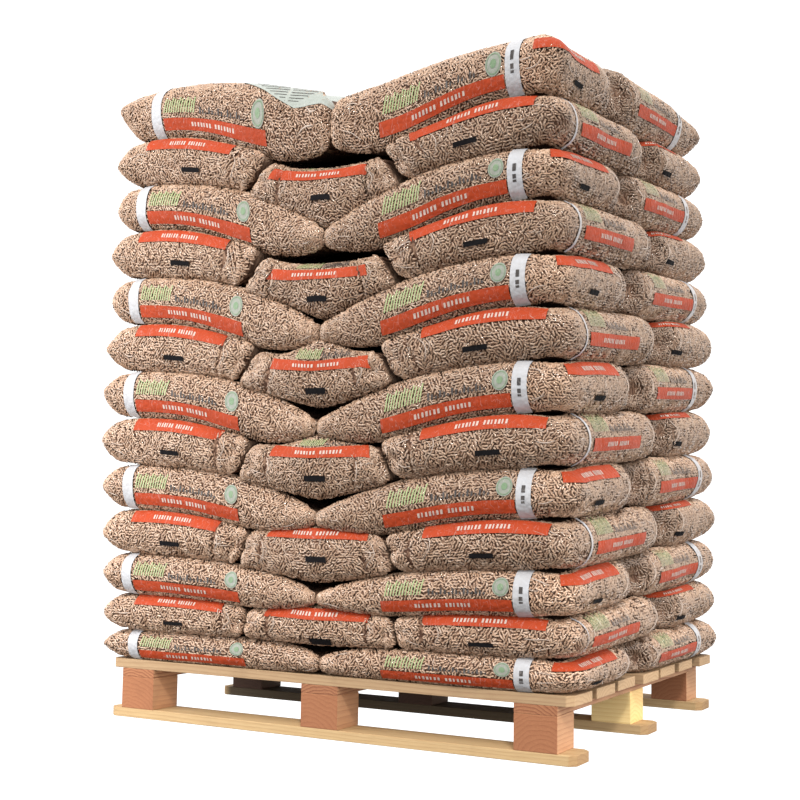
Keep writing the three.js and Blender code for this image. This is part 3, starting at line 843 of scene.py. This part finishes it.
# Prints. Distances are along a side from its left end, and heights are shares of the sack's own.
FRONT_PRINT_SHIFTS = {  # of the lengthwise sacks of layers 1, 3, 5 and so on
    "left": (0.008, 0.003, 0.0, 0.002, 0.0, 0.008, 0.03),
    "right": (0.0, 0.006, 0.015, 0.006, 0.0, -0.015, -0.03),
}
END_PRINTS = {  # start of the stripe, middle of the bar and length of the stripe on the ends in the front row
    "left": (0.075, 0.2, 0.255),
    "middle": (0.052, 0.193, 0.275),
    "right": (0.075, 0.215, 0.285),
}
END_PRINT_SHIFTS = {  # of the same in layers 2, 4, 6 and so on
    "left": (0.0, 0.0, 0.003, 0.003, 0.0, 0.0),
    "middle": (0.015, 0.017, 0.027, 0.017, 0.012, -0.004),
    "right": (-0.01, 0.008, 0.007, -0.008, -0.028, -0.05),
}
LONG_PRINTS = {  # starts with the band on the left and on the right, length, and both heights
    "stripe": (0.085, 0.165, 0.31, 0.13, 0.37),
    "hatch": (0.088, 0.175, 0.094, 0.48, 0.8),
    "dashes": (0.195, 0.282, 0.14, 0.47, 0.6),
    "badge": (0.355, 0.432, 0.038, 0.45, 0.8),
}
MIDDLE_PRINT_RISES = (0.15, 0.16, 0.1, 0.02, -0.1, -0.02)
SIDE_PRINT_RISE = 0.15  # the sacks at the other sides lie turned with their prints a little higher


def long_side_prints(sack, side, random):
    """What a long side shows: a band round the sack, a stripe, a hatched area, ruled dashes and a badge."""
    band_first = {"front": sack.name.endswith("left"), "back": sack.name.endswith("right")}.get(side)
    if band_first is None:
        band_first = sack.layer % 2 == (0 if side == "right" else 1)
    turned = 0.0
    if side == "front":
        shift = FRONT_PRINT_SHIFTS["left" if band_first else "right"][(sack.layer - 1) // 2]
    else:
        shift = random.uniform(-0.02, 0.01) - (0.035 if side == "right" and not band_first else 0.0)
        turned = SIDE_PRINT_RISE
    if band_first:
        found = [("band", 0.05 + shift, (0.06 if side == "right" else 0.08) + shift, 0.02, 0.98)]
    else:
        found = [("weight_band", 0.478 + shift, 0.512 + shift, 0.02, 0.98)]
    for kind, (left, right, length, low, high) in LONG_PRINTS.items():
        if kind == "badge" and side == "right":
            continue
        start = (left if band_first else right) + shift
        found.append((kind, start, start + length, low + turned, high + turned))
    return found


def end_prints(sack, side, random):
    """What an end shows: a stripe along its upper edge and a dark bar."""
    place = sack.name.rsplit("_", 1)[1]
    start, middle, length = 0.03, 0.18, 0.285
    if side == "front":
        start, middle, length = END_PRINTS[place]
    elif side == "right":
        start, middle = -0.04, 0.11
    shift = END_PRINT_SHIFTS[place][sack.layer // 2 - 1] if side == "front" else 0.0
    start += shift + random.uniform(-0.01, 0.01)
    middle += shift + random.uniform(-0.01, 0.01)
    if place == "middle":
        rise = MIDDLE_PRINT_RISES[min(sack.layer // 2, 6) - 1] if sack.layer > 1 else 0.0
        return [
            ("stripe", start, start + length, 0.69 + rise, 0.91 + rise),
            ("hatch", start + 0.08, start + 0.145, 0.95 + rise, 1.2),
            ("dashes", start + 0.15, start + 0.22, 0.95 + rise, 1.1),
            ("bar", middle - 0.026, middle + 0.026, 0.2 + rise, 0.32 + rise),
        ]
    low = 0.84 if side == "right" and sack.outer["back"] else 0.71
    return [
        ("stripe", start, start + length, low, 0.95),
        ("bar", middle - 0.028, middle + 0.028, 0.25, 0.34),
    ]


def sack_prints(sack):
    """Every print on the outer sides of a sack, as (kind, start, end, low, high) along its outline."""
    random = np.random.default_rng(SACK_SEED + 31 * sack.layer + len(sack.name))
    found = []
    for side in SIDES:
        if not sack.outer[side]:
            continue
        is_long = (side in ("front", "back")) == sack.lengthwise
        rows = long_side_prints(sack, side, random) if is_long else end_prints(sack, side, random)
        for kind, start, end, low, high in rows:
            if sack.layer == LAYERS and kind not in ("band", "weight_band"):
                low, high = 0.03 + 0.76 * low, 0.03 + 0.76 * high
            found.append((kind, sack.along_of(side, start), sack.along_of(side, end), low, high))
    return found


PRINT_LIFT = 0.0048  # how far the prints lie outside the sack's mesh
INK_LIFT = 0.0006  # and a print on another one above that
SHEET_SPACING = 0.01
PANEL_SPACING = 0.02
DISC_HEIGHT = 0.1  # of a sack, for discs and pleats
HATCH_BARS = 13
DASH_COUNT = 15


class Sheets:
    """Thin printed areas that follow the film, gathered into one mesh."""

    def __init__(self):
        self.points = []
        self.faces = []
        self.kinds = []
        self.total = 0
        self.waiting = []

    def add_grid(self, points, columns, rows, kind):
        self.points.append(points)
        for i in range(columns - 1):
            for j in range(rows - 1):
                a = self.total + i * rows + j
                self.faces.append((a, a + rows, a + rows + 1, a + 1))
                self.kinds.append(kind)
        self.total += len(points)

    def add(self, sack, kind, start, end, low, high, slant=0.0, lift=PRINT_LIFT):
        """A sheet between two distances along the outline and two heights, its upper edge shifted by slant. The
        lower height may be a function of the share along the sheet."""
        columns = max(2, math.ceil(abs(end - start) / SHEET_SPACING) + 1)
        deepest = low(0.65) if callable(low) else low
        rows = max(2, math.ceil((high - deepest) * SIDE_HEIGHT / SHEET_SPACING) + 1)
        along, share = np.meshgrid(np.linspace(start, end, columns), np.linspace(0, 1, rows), indexing="ij")
        if callable(low):
            low = low((along - start) / (end - start))
        up = low + (high - low) * share
        along = (along + slant * share).ravel()
        zero, one = sack.print_span(along)
        up = zero + up.ravel() * (one - zero)
        self.waiting.append((along, up, lift, columns, rows, kind))

    def settle(self, sack):
        """Lay the sheets that wait on a sack's side, all at once."""
        along = np.concatenate([sheet[0] for sheet in self.waiting])
        up = np.concatenate([sheet[1] for sheet in self.waiting])
        lift = np.concatenate([sheet[2] + np.zeros(len(sheet[0])) for sheet in self.waiting])
        points, _, _, normal = sack.side_frames(along, sack.tilt_of(up, along))
        points += normal * lift[:, None]
        done = 0
        for sheet in self.waiting:
            count = len(sheet[0])
            self.add_grid(points[done : done + count], *sheet[3:])
            done += count
        self.waiting = []

    def add_disc(self, kind, middle_along, middle_up, radius, inner=0.0, lift=PRINT_LIFT, steps=18):
        """A disc or ring, its height measured on the film."""
        turns = np.linspace(0, 2 * math.pi, steps + 1)
        radii = np.linspace(inner, radius, 3 if inner == 0 else 2)
        turn, size = np.meshgrid(turns, radii, indexing="ij")
        along = (middle_along + size * np.cos(turn)).ravel()
        up = (middle_up + size * np.sin(turn) / DISC_HEIGHT).ravel()
        self.waiting.append((along, up, lift, steps + 1, len(radii), kind))

    def add_ridge(self, start, end, low, high, bend, width):
        """A pleat of the clear film, as a thin raised fold that fades out at both ends. Its width is measured upwards
        if it runs along the sack, and along the sack if it runs upwards."""
        steps = 7
        share = np.linspace(0, 1, steps)
        along = start + (end - start) * share
        up = low + (high - low) * share
        swell = np.sqrt(np.sin(np.linspace(0.02, math.pi - 0.02, steps)))
        upright = abs(high - low) * DISC_HEIGHT > abs(end - start)
        bow = bend * np.sin(math.pi * share)
        along, up = (along + DISC_HEIGHT * bow, up) if upright else (along, up + bow)
        aside, above = (width, 0.0) if upright else (0.0, width / DISC_HEIGHT)
        along = along[:, None] + aside * swell[:, None] * np.array([-1, 0, 1])
        up = up[:, None] + above * swell[:, None] * np.array([-1, 0, 1])
        lift = PRINT_LIFT - 0.001 + 0.0014 * swell[:, None] * np.array([0, 1, 0])
        # Drawn pale, as a painted highlight along the fold
        self.waiting.append((along.ravel(), up.ravel(), lift.ravel(), steps, 3, "clear"))

    def add_panel(self, sack, kind, x0, x1, y0, y1, lift=PRINT_LIFT):
        """A sheet on top of a sack."""
        columns = max(2, math.ceil((x1 - x0) / PANEL_SPACING) + 1)
        rows = max(2, math.ceil((y1 - y0) / PANEL_SPACING) + 1)
        x, y = np.meshgrid(np.linspace(x0, x1, columns), np.linspace(y0, y1, rows), indexing="ij")
        points = sack.face_points(x.ravel(), y.ravel())
        points[:, 2] += lift
        self.add_grid(points, columns, rows, kind)

    def object(self, name, kinds):
        order = {kind: number for number, kind in enumerate(kinds)}
        materials = [MATERIALS[kind] for kind in kinds]
        face_material = [order[kind] for kind in self.kinds]
        return new_object(name, np.concatenate(self.points), self.faces, materials, face_material)


def add_print(sheets, sack, kind, start, end, low, high):
    """One print, with the plain strokes or marks on it."""
    if kind in ("band", "weight_band"):
        sheets.add(sack, "band", start, end, low, high, lift=PRINT_LIFT + 0.0004)
    if kind == "weight_band":
        middle = (start + end) / 2
        for mark_low, mark_high in ((0.3, 0.34), (0.36, 0.44), (0.5, 0.64)):
            sheets.add(sack, "grey", middle - 0.004, middle + 0.004, mark_low, mark_high, lift=PRINT_LIFT + 0.001)
    elif kind == "stripe":
        sheets.add(sack, "stripe", start, end, low, high)
        dash_start = start + 0.27 * (end - start)
        dash_room = 0.44 * (end - start) / DASH_COUNT
        for number in range(DASH_COUNT):
            place = dash_start + number * dash_room
            third = (high - low) / 3
            if number % 8 < 7:
                width = (0.6, 0.4, 0.55)[number % 3] * dash_room
                sheets.add(sack, "white", place, place + width, low + third, high - third, lift=PRINT_LIFT + INK_LIFT)
    elif kind == "hatch":
        room = (end - start) / HATCH_BARS
        for number in range(HATCH_BARS):
            place = start + number * room
            drop = 0.1 * (high - low) * (number % 3)
            sheets.add(sack, "green", place, place + 0.42 * room, low, high - drop, slant=0.006)
    elif kind == "dashes":
        room = (end - start) / DASH_COUNT
        for number in range(DASH_COUNT):
            place = start + number * room
            sheets.add(sack, "grey", place, place + 0.5 * room, low, high - 0.04 * (number % 3))
    elif kind == "badge":
        middle = (start + end) / 2
        centre = (low + high) / 2
        sheets.add_disc("pale", middle, centre, 0.019)
        sheets.add_disc("leaf", middle, centre, 0.0165, 0.015, lift=PRINT_LIFT + INK_LIFT)
        sheets.add_disc("leaf", middle, centre, 0.007, lift=PRINT_LIFT + INK_LIFT, steps=12)
    elif kind == "bar":
        sheets.add(sack, "dark", start, end, low, high, lift=PRINT_LIFT + 0.0009)


def add_pleats(sheets, sack, random):
    """Pleats that fan out from the sack's corners, and short ones across the upper edges of its sides."""
    for number, side in enumerate(SIDES):
        if not sack.outer[side]:
            continue
        start, end = sack.part_starts[2 * number], sack.part_starts[2 * number + 1]
        for corner, inwards in ((start, 1), (end, -1)):
            for _ in range(random.integers(1, 4)):
                fan = random.uniform(-1, 1)
                near = corner + inwards * random.uniform(-0.03, 0.02)
                far = near + inwards * random.uniform(0.02, 0.05)
                bend = random.uniform(-0.06, 0.06)
                width = random.uniform(0.0007, 0.0013)
                sheets.add_ridge(near, far, 0.5 + 0.22 * fan, 0.5 + 0.36 * fan, bend, width)
        for corner in (number - 1, number):
            ear = sack.ears[corner]
            if ear["dimple"]:
                place = sack.part_starts[2 * (corner % 4) + 1] + sack.parts[1] / 2
                place += ear["distance"] * (1 if corner < number else -1)
                sheets.add_ridge(place, place + ear["slant"], 0.2, 0.85, 0.2, 0.0011)
                sheets.add_ridge(place + 0.006, place + 0.01, 0.35, 0.7, 0.15, 0.0008)
        for _ in range(random.integers(1, 5)):
            place = random.uniform(start + 0.03, end - 0.03)
            foot = random.uniform(0.45, 0.75)
            head = foot + random.uniform(0.12, 0.24)
            sheets.add_ridge(place, place + random.uniform(-0.008, 0.008), foot, head, 0.0, 0.0007)


PANEL_EDGE = (-0.31, 0.022)  # where the panel on top bends over the front of the left sack
PANEL_MARGINS = {"front": 0.115, "right": 0.14, "back": 0.13, "left": 0.15}  # from the edges of a top sack

PANEL_LINES = 9


def top_panel(sack):
    """Where the printed panel on top of a sack lies, as (x0, x1, y0, y1)."""
    inwards = {side: PANEL_MARGINS[side] if sack.outer[side] else 0.085 for side in SIDES}
    x0, x1 = sack.extent["left"] + inwards["left"], sack.extent["right"] - inwards["right"]
    y0, y1 = sack.extent["front"] + inwards["front"], sack.extent["back"] - inwards["back"]
    return x0, x1, y0, y1


def panel_foot(share):
    """Height of the lower edge of the panel's bent part, from its left end (0) to its right end (1)."""
    return np.interp(share, (0.0, 0.35, 0.65, 1.0), (1.0, 0.82, 0.6, 0.7))


def add_panel_edge(sheets, sack):
    """The part of the top panel that bends over the front edge of the sack, with short dark lines."""
    start = sack.along_of("front", PANEL_EDGE[0] - sack.nominal["left"])
    end = sack.along_of("front", PANEL_EDGE[1] - sack.nominal["left"])
    sheets.add(sack, "panel", start, end, panel_foot, 1.0)
    for number in range(8):
        up = 0.97 - 0.04 * number
        first = 0.18 + 0.055 * number
        for line_start, line_end in ((first, 0.56), (0.59, 0.92 - 0.035 * number)):
            line = (start + line_start * (end - start), start + line_end * (end - start))
            sheets.add(sack, "grey", *line, up, up + 0.008, lift=PRINT_LIFT + INK_LIFT)


def add_top_panel(sheets, sack):
    """A pale panel on top of the sack, with ruled lines of different lengths and a stripe."""
    x0, x1, y0, y1 = top_panel(sack)
    sheets.add_panel(sack, "panel", x0, x1, y0, y1)
    random = np.random.default_rng(SACK_SEED + len(sack.name))
    width, depth = x1 - x0, y1 - y0
    lift = PRINT_LIFT + INK_LIFT
    sheets.add_panel(sack, "stripe", x0 + 0.03 * width, x0 + 0.6 * width, y1 - 0.2 * depth, y1 - 0.08 * depth, lift)
    for number in range(PANEL_LINES):
        y = y0 + 0.1 * depth + 0.62 * depth * number / PANEL_LINES
        end = x0 + width * (0.06 + random.uniform(0.3, 0.5))
        sheets.add_panel(sack, "grey", x0 + 0.05 * width, end, y, y + 0.0022, lift)
        second = x0 + 0.55 * width
        sheets.add_panel(sack, "leaf", second, second + width * random.uniform(0.15, 0.38), y, y + 0.0022, lift)


COVERING = ("band", "weight_band", "stripe", "bar")  # prints that hide the pellets behind them


def uncovered(sack, along, up, prints):
    """Where no print hides the pellets."""
    keep = np.ones(len(along), bool)
    zero, one = sack.print_span(along)
    up = (up - zero) / (one - zero)
    for kind, start, end, low, high in prints:
        if kind in COVERING:
            within = (along > start + 0.002) & (along < end - 0.002)
            keep &= ~(within & (up > low + 0.02) & (up < high - 0.02))
    return keep


def pellet_field(width, height, random):
    """Places (u, v) of pellets on a flat field, with their directions and lengths."""
    columns = max(1, round(width / PELLET_SPACING))
    rows = max(1, round(height / (PELLET_SPACING * math.sqrt(0.75))))
    column, row = np.meshgrid(np.arange(columns), np.arange(rows), indexing="ij")
    count = columns * rows
    u = (column + 0.5 * (row % 2)).ravel() * width / columns + random.normal(0, PELLET_JITTER, count)
    v = (row + 0.5).ravel() * height / rows + random.normal(0, PELLET_JITTER, count)
    turns = lumps(np.column_stack([u, v, np.zeros(count)]), random.integers(1 << 30), TURN_SIZE)
    direction = 2.5 * turns + random.normal(0, PELLET_STRAY, count)
    return u, v, direction, random.uniform(*PELLET_LENGTHS, count)


class Pellets:
    """Pellets as short ridges without ends or a face inwards, gathered into one mesh."""

    def __init__(self, seed):
        self.random = np.random.default_rng(seed)
        self.centres, self.axes, self.normals, self.lengths, self.shades = [], [], [], [], []

    def add(self, frames, direction, length, shade=1.0):
        points, onward, upward, normal = frames
        axis = np.cos(direction)[:, None] * onward + np.sin(direction)[:, None] * upward
        axis = unit(axis + normal * self.random.normal(0, PELLET_TILT, len(points))[:, None])
        rise = PELLET_RISE + self.random.uniform(-0.0012, 0.0008, len(points))
        self.centres.append(points + normal * rise[:, None])
        self.axes.append(axis)
        self.normals.append(normal)
        self.lengths.append(length)
        self.shades.append(np.broadcast_to(shade, len(points)))

    def object(self, name):
        centre = np.concatenate(self.centres)
        axis = np.concatenate(self.axes)
        normal = np.concatenate(self.normals)
        half = np.concatenate(self.lengths)[:, None] / 2
        count = len(centre)
        radius = PELLET_RADIUS * self.random.uniform(0.94, 1.08, count)[:, None]
        side = unit(np.cross(axis, normal))
        outward = np.cross(side, axis)
        corners = []
        roundness = []
        for end in (-1, 1):
            for turn in (90, 198, 342):
                angle = math.radians(turn)
                spoke = math.cos(angle) * side + math.sin(angle) * outward
                corners.append(centre + end * half * axis + radius * spoke)
                roundness.append(unit(spoke + 0.35 * end * axis))
        points = np.stack(corners, 1).reshape(-1, 3)
        normals = np.stack(roundness, 1).reshape(-1, 3)
        pattern = np.array([(0, 3, 4), (0, 4, 1), (2, 5, 3), (2, 3, 0)])
        faces = (pattern[None] + 6 * np.arange(count)[:, None, None]).reshape(-1, 3)
        mesh = bpy.data.meshes.new(name)
        mesh.vertices.add(len(points))
        mesh.vertices.foreach_set("co", points.astype(np.float32).ravel())
        mesh.loops.add(faces.size)
        mesh.loops.foreach_set("vertex_index", faces.astype(np.int32).ravel())
        mesh.polygons.add(len(faces))
        mesh.polygons.foreach_set("loop_start", np.arange(0, faces.size, 3, dtype=np.int32))
        mesh.polygons.foreach_set("loop_total", np.full(len(faces), 3, np.int32))
        tone = np.repeat(self.random.integers(0, len(TONES), count), len(pattern))
        for material in PELLET_MATERIALS:
            mesh.materials.append(material)
        mesh.polygons.foreach_set("material_index", tone.astype(np.int32))
        mesh.polygons.foreach_set("use_smooth", np.ones(len(faces), bool))
        mesh.update(calc_edges=True)
        mesh.normals_split_custom_set_from_vertices(normals.tolist())
        places = np.zeros((count, 6, 3))
        places[:, :, 0] = (-1, -1, -1, 1, 1, 1)
        places[:, :, 1] = (0, 1, 1, 0, 1, 1)
        # The third part is the pellet's painted light and shade
        places[:, :, 2] = np.concatenate(self.shades)[:, None]
        add_attribute(mesh, "film_normal", np.repeat(normal, 6, 0))
        add_attribute(mesh, "rod_place", places)
        return linked(name, mesh)


def side_pellets(sack, pellets, prints):
    """Pellets behind the film of the sack's outer sides."""
    tilt_line = np.linspace(-1.45, 1.45 if sack.layer < LAYERS else 1.565, 60)
    number = next(number for number, side in enumerate(SIDES) if sack.outer[side])
    middle_of_side = sack.part_starts[2 * number] + sack.parts[2 * number] / 2
    profile = sack.side_points(np.full(60, middle_of_side), tilt_line)
    travelled = np.concatenate([[0], np.cumsum(np.linalg.norm(np.diff(profile, axis=0), axis=1))])
    along, climb, direction, length = pellet_field(sack.part_starts[-1], travelled[-1], pellets.random)
    tilt = np.interp(climb, travelled, tilt_line)
    _, out, _ = sack.rim(along)
    fullness = sack.blend_sides(out, OUTER_FULLNESS, INNER_FULLNESS)
    up = height_share(tilt, fullness)
    keep = visible(sack, out) & uncovered(sack, along, up, prints)
    # Painted light and shade for these pellets
    shade = sack.painted_light_and_shade(along[keep])
    pellets.add(sack.side_frames(along[keep], tilt[keep]), direction[keep], length[keep], shade)


def top_pellets(sack, pellets):
    """Pellets behind the film of the sack's top."""
    x0, x1 = sack.extent["left"], sack.extent["right"]
    y0, y1 = sack.extent["front"], sack.extent["back"]
    x, y, direction, length = pellet_field(x1 - x0, y1 - y0, pellets.random)
    x, y = x + x0, y + y0
    away = sack.side_distances(x, y)
    inside = np.ones(len(x), bool)
    for side in SIDES:
        inside &= away[side] > (TOP_ROUND[side] if sack.outer[side] else TOP_PELLETS_FROM)
    x0, x1, y0, y1 = top_panel(sack)
    inside &= (x < x0) | (x > x1) | (y < y0) | (y > y1)
    x, y, direction, length = x[inside], y[inside], direction[inside], length[inside]
    step = 0.002
    onward = unit(sack.face_points(x + step, y) - sack.face_points(x - step, y))
    back = unit(sack.face_points(x, y + step) - sack.face_points(x, y - step))
    normal = unit(np.cross(onward, back))
    frames = (sack.face_points(x, y), onward, np.cross(normal, onward), normal)
    pellets.add(frames, direction, length)


def add_sacks():
    """The sacks of every layer, and for each layer one piece with the prints and one with the pellets."""
    for layer in range(1, LAYERS + 1):
        sacks = [sack for sack in ALL_SACKS if sack.layer == layer]
        node = f"sack_layer_{layer:02d}"
        sheets = Sheets()
        pellets = Pellets(SACK_SEED + layer)
        for sack in sacks:
            piece = sack_object(sack)
            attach(piece, "root")
            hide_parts(node)
            prints = sack_prints(sack)
            for row in prints:
                add_print(sheets, sack, *row)
            add_pleats(sheets, sack, pellets.random)
            if layer == LAYERS and sack.name.endswith("front_left"):
                add_panel_edge(sheets, sack)
            sheets.settle(sack)
            side_pellets(sack, pellets, prints)
            if layer == LAYERS:
                top_pellets(sack, pellets)
                add_top_panel(sheets, sack)
        printed = sheets.object(f"prints_layer_{layer:02d}", sorted(set(sheets.kinds)))
        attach(printed, "root")
        filling = pellets.object(f"pellets_layer_{layer:02d}")
        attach(filling, "root")


BLOCK_TONES = {"block_front_left": 1.06, "block_front_centre": 0.97, "block_front_right": 1, "block_middle_right": 1}
UNDER_DECK_SHADE = 0.85  # how much darker the wood is behind the front row of blocks
END_STRAY = 0.011  # how far the ends of the deck boards lie apart, one way or the other


def under_deck(shader, position):
    """The share of light that is left below the deck: less away from the front, the right side and the ends."""
    x, y, _ = shader.split(position)
    behind = shader.slope(shader.math("ABSOLUTE", y), -25.0, 25 * 0.385)
    from_right = shader.slope(x, -25.0, 25 * 0.42)
    from_left = shader.slope(x, 40.0, 40 * 0.598)
    inside = shader.times(shader.times(behind, from_right), from_left)
    return shader.math("MULTIPLY_ADD", inside, -UNDER_DECK_SHADE, 1.0)


def wood_material(name, light, dark, ring, axis, end_tint=(0.75, 0.65, 0.58), contrast=0.5, shaded=True):
    """Sawn softwood: growth rings round an axis, grain drawn out along it, and rough sawn faces."""
    shader = Shader(name)
    position = shader.position()
    seed = shader.attribute("board_seed", "Fac")
    shift = shader.add("CombineXYZ", i0=seed, i1=shader.times(seed, 0.37), i2=0.0).outputs[0]
    moved = shader.vector_math("ADD", position, shift)
    drawn = shader.add("Mapping", Vector=moved, Scale=(0.6, 6, 6) if axis == "x" else (6, 0.6, 6)).outputs[0]
    wander = shader.noise(drawn, 1.6, 3.0, 0.55)
    x, y, z = shader.split(shader.attribute("from_pith"))
    across = shader.times(y if axis == "x" else x, 0.8)
    radius = shader.math("SQRT", shader.plus(shader.times(across, across), shader.times(z, z)))
    rings = shader.math("MULTIPLY_ADD", radius, ring, shader.times(wander, 5.0))
    band = shader.math("POWER", shader.math("FRACT", rings), 2.5)
    fibre = shader.noise(drawn, 42.0, 3.0, 0.65)
    blotch = shader.noise(moved, 7.0, 3.0, 0.6)
    share = shader.slope(band, contrast, shader.math("MULTIPLY_ADD", fibre, 0.7, -0.25))
    colour = shader.mix(share, light, dark)
    dirt = shader.slope(blotch, 1.6, -0.95)
    colour = shader.mix(dirt, colour, tuple(0.55 * c for c in dark))
    # Faces across the grain are tinted: partly the end grain's own colour, partly painted light and shade that makes
    # the blocks' and stringers' fronts darker than their sides and the deck boards' ends lighter
    facing = shader.split(shader.add("NewGeometry").outputs["True Normal"])
    end_facing = shader.math("ABSOLUTE", facing[0 if axis == "x" else 1])
    colour = shader.mix(end_facing, colour, end_tint, "MULTIPLY")
    tone = shader.attribute("board_tone", "Fac")
    if shaded:
        tone = shader.times(tone, under_deck(shader, position))
    colour = shader.vector_math("SCALE", colour, scale=tone)
    height = shader.plus(shader.times(fibre, 0.8), shader.times(band, -0.5))
    return shader.finish(Base_Color=colour, Roughness=0.8, Normal=shader.bump(height, 0.5, 0.0012))


# The end tints are partly the end grain's own colour and partly painted light and shade
WOODS = {
    "board": wood_material("board_wood", (0.58, 0.40, 0.20), (0.40, 0.23, 0.10), 120.0, "x"),
    "deck": wood_material(
        "deck_wood", (0.45, 0.30, 0.165), (0.29, 0.16, 0.08), 120.0, "x", (1.25, 1.25, 1.25), shaded=False
    ),
    "stringer": wood_material(
        "stringer_wood", (0.58, 0.31, 0.16), (0.27, 0.10, 0.045), 150.0, "y", (0.75, 0.6, 0.53), 0.95
    ),
    "yellow_block": wood_material(
        "yellow_block_wood", (1.0, 0.74, 0.34), (0.84, 0.55, 0.21), 110.0, "x", (1.0, 0.93, 0.85), 0.6
    ),
    "block": wood_material("block_wood", (0.60, 0.32, 0.165), (0.40, 0.18, 0.085), 110.0, "y", (0.66, 0.5, 0.43)),
}


def add_pallet_piece(node, random):
    """A sawn piece in place of its CAD solid, with worn edges. The deck boards' ends don't quite line up."""
    kind = {"b": "board", "d": "deck", "s": "stringer"}[node[0]] if not node.startswith("block") else "block"
    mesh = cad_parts[node].data.copy()
    piece = linked(node + "_sawn", mesh)
    built = bmesh.new()
    built.from_mesh(mesh)
    bmesh.ops.remove_doubles(built, verts=built.verts, dist=1e-5)
    bmesh.ops.dissolve_limit(built, angle_limit=0.02, verts=built.verts, edges=built.edges)
    sharp = [edge for edge in built.edges if edge.calc_face_angle(0) > 0.5]
    bmesh.ops.bevel(built, geom=sharp, offset=0.0016, segments=2, profile=0.6, affect="EDGES")
    if kind == "deck":
        for sign in (-1, 1):
            stray = random.uniform(-END_STRAY, END_STRAY)
            for vertex in built.verts:
                if sign * vertex.co.x > PALLET_LENGTH / 2 - 0.02:
                    vertex.co.x += sign * stray
    built.to_mesh(mesh)
    built.free()
    mesh.materials.clear()
    mesh.materials.append(WOODS["yellow_block" if node == "block_middle_right" else kind])
    mesh.polygons.foreach_set("use_smooth", np.zeros(len(mesh.polygons), bool))
    ones = np.ones(len(mesh.vertices))
    add_attribute(mesh, "board_seed", ones * random.uniform(0, 9))
    places = np.array([vertex.co for vertex in mesh.vertices])
    pith = places.mean(0) + np.array([random.uniform(-0.03, 0.03), random.uniform(-0.03, 0.03), -0.06])
    add_attribute(mesh, "from_pith", places - pith)
    add_attribute(mesh, "board_tone", ones * BLOCK_TONES.get(node, random.uniform(0.88, 1.05)))
    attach(piece, "root")
    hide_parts(node)


def add_pallet():
    random = np.random.default_rng(SACK_SEED)
    for node in sorted(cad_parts):
        if not node.startswith("sack_layer"):
            add_pallet_piece(node, random)


def add_camera():
    data = bpy.data.cameras.new("camera")
    data.lens = CAMERA_LENS
    data.sensor_width = 36
    camera = linked("camera", data)
    bpy.context.scene.camera = camera
    level = math.cos(CAMERA_PITCH)
    ahead = Vector((math.sin(CAMERA_YAW) * level, math.cos(CAMERA_YAW) * level, math.sin(CAMERA_PITCH)))
    right = Vector((math.cos(CAMERA_YAW), -math.sin(CAMERA_YAW), 0))
    up = right.cross(ahead)
    rolled_right = math.cos(CAMERA_ROLL) * right + math.sin(CAMERA_ROLL) * up
    rolled_up = -math.sin(CAMERA_ROLL) * right + math.cos(CAMERA_ROLL) * up
    turn = Matrix((rolled_right, rolled_up, -ahead)).transposed().to_4x4()
    camera.matrix_world = Matrix.Translation(CAMERA_PLACE) @ turn


def add_light(name, kind, energy, towards, place=(0, 0, 0), size=None):
    """A light that shines from towards, or a rectangular one of that size at a place."""
    data = bpy.data.lights.new(name, kind)
    data.energy = energy
    light = linked(name, data)
    light.location = place
    light.rotation_mode = "QUATERNION"
    light.rotation_quaternion = Vector(towards).to_track_quat("Z", "Y")
    if size:
        data.shape = "RECTANGLE"
        data.size, data.size_y = size
    return data


def add_stage():
    """White surroundings that are dark far below, as under a pallet that stands on the ground, and three lights."""
    world = bpy.context.scene.world or bpy.data.worlds.new("world")
    bpy.context.scene.world = world
    world.use_nodes = True
    shader = Nodes(world.node_tree)
    _, y, z = shader.split(shader.add("TexCoord").outputs["Generated"])
    level = shader.math("MULTIPLY_ADD", shader.math("MINIMUM", y, 0.0), 0.35, z)
    white = shader.add("MapRange", Value=level, From_Min=-0.5, From_Max=-0.27, To_Min=WORLD_BELOW, To_Max=1.0)
    background = world.node_tree.nodes["Background"]
    shader.set(background, "Color", white.outputs["Result"])
    shader.set(background, "Strength", WORLD_STRENGTH)
    key = add_light("key", "SUN", 1.6, (0.5, -0.75, 0.85))
    key.angle = math.radians(8)
    key.color = (1.0, 0.97, 0.93)
    add_light("left", "AREA", 14, (-0.55, -0.8, 0.0), (-0.95, -1.3, 0.9), (0.7, 2.2))
    add_light("low", "AREA", 3.7, (1.0, -0.5, 0.0), (1.6, -0.5, 0.22), (0.8, 0.4))
    bpy.context.scene.view_settings.view_transform = "Standard"


add_camera()
add_stage()
add_pallet()
add_sacks()
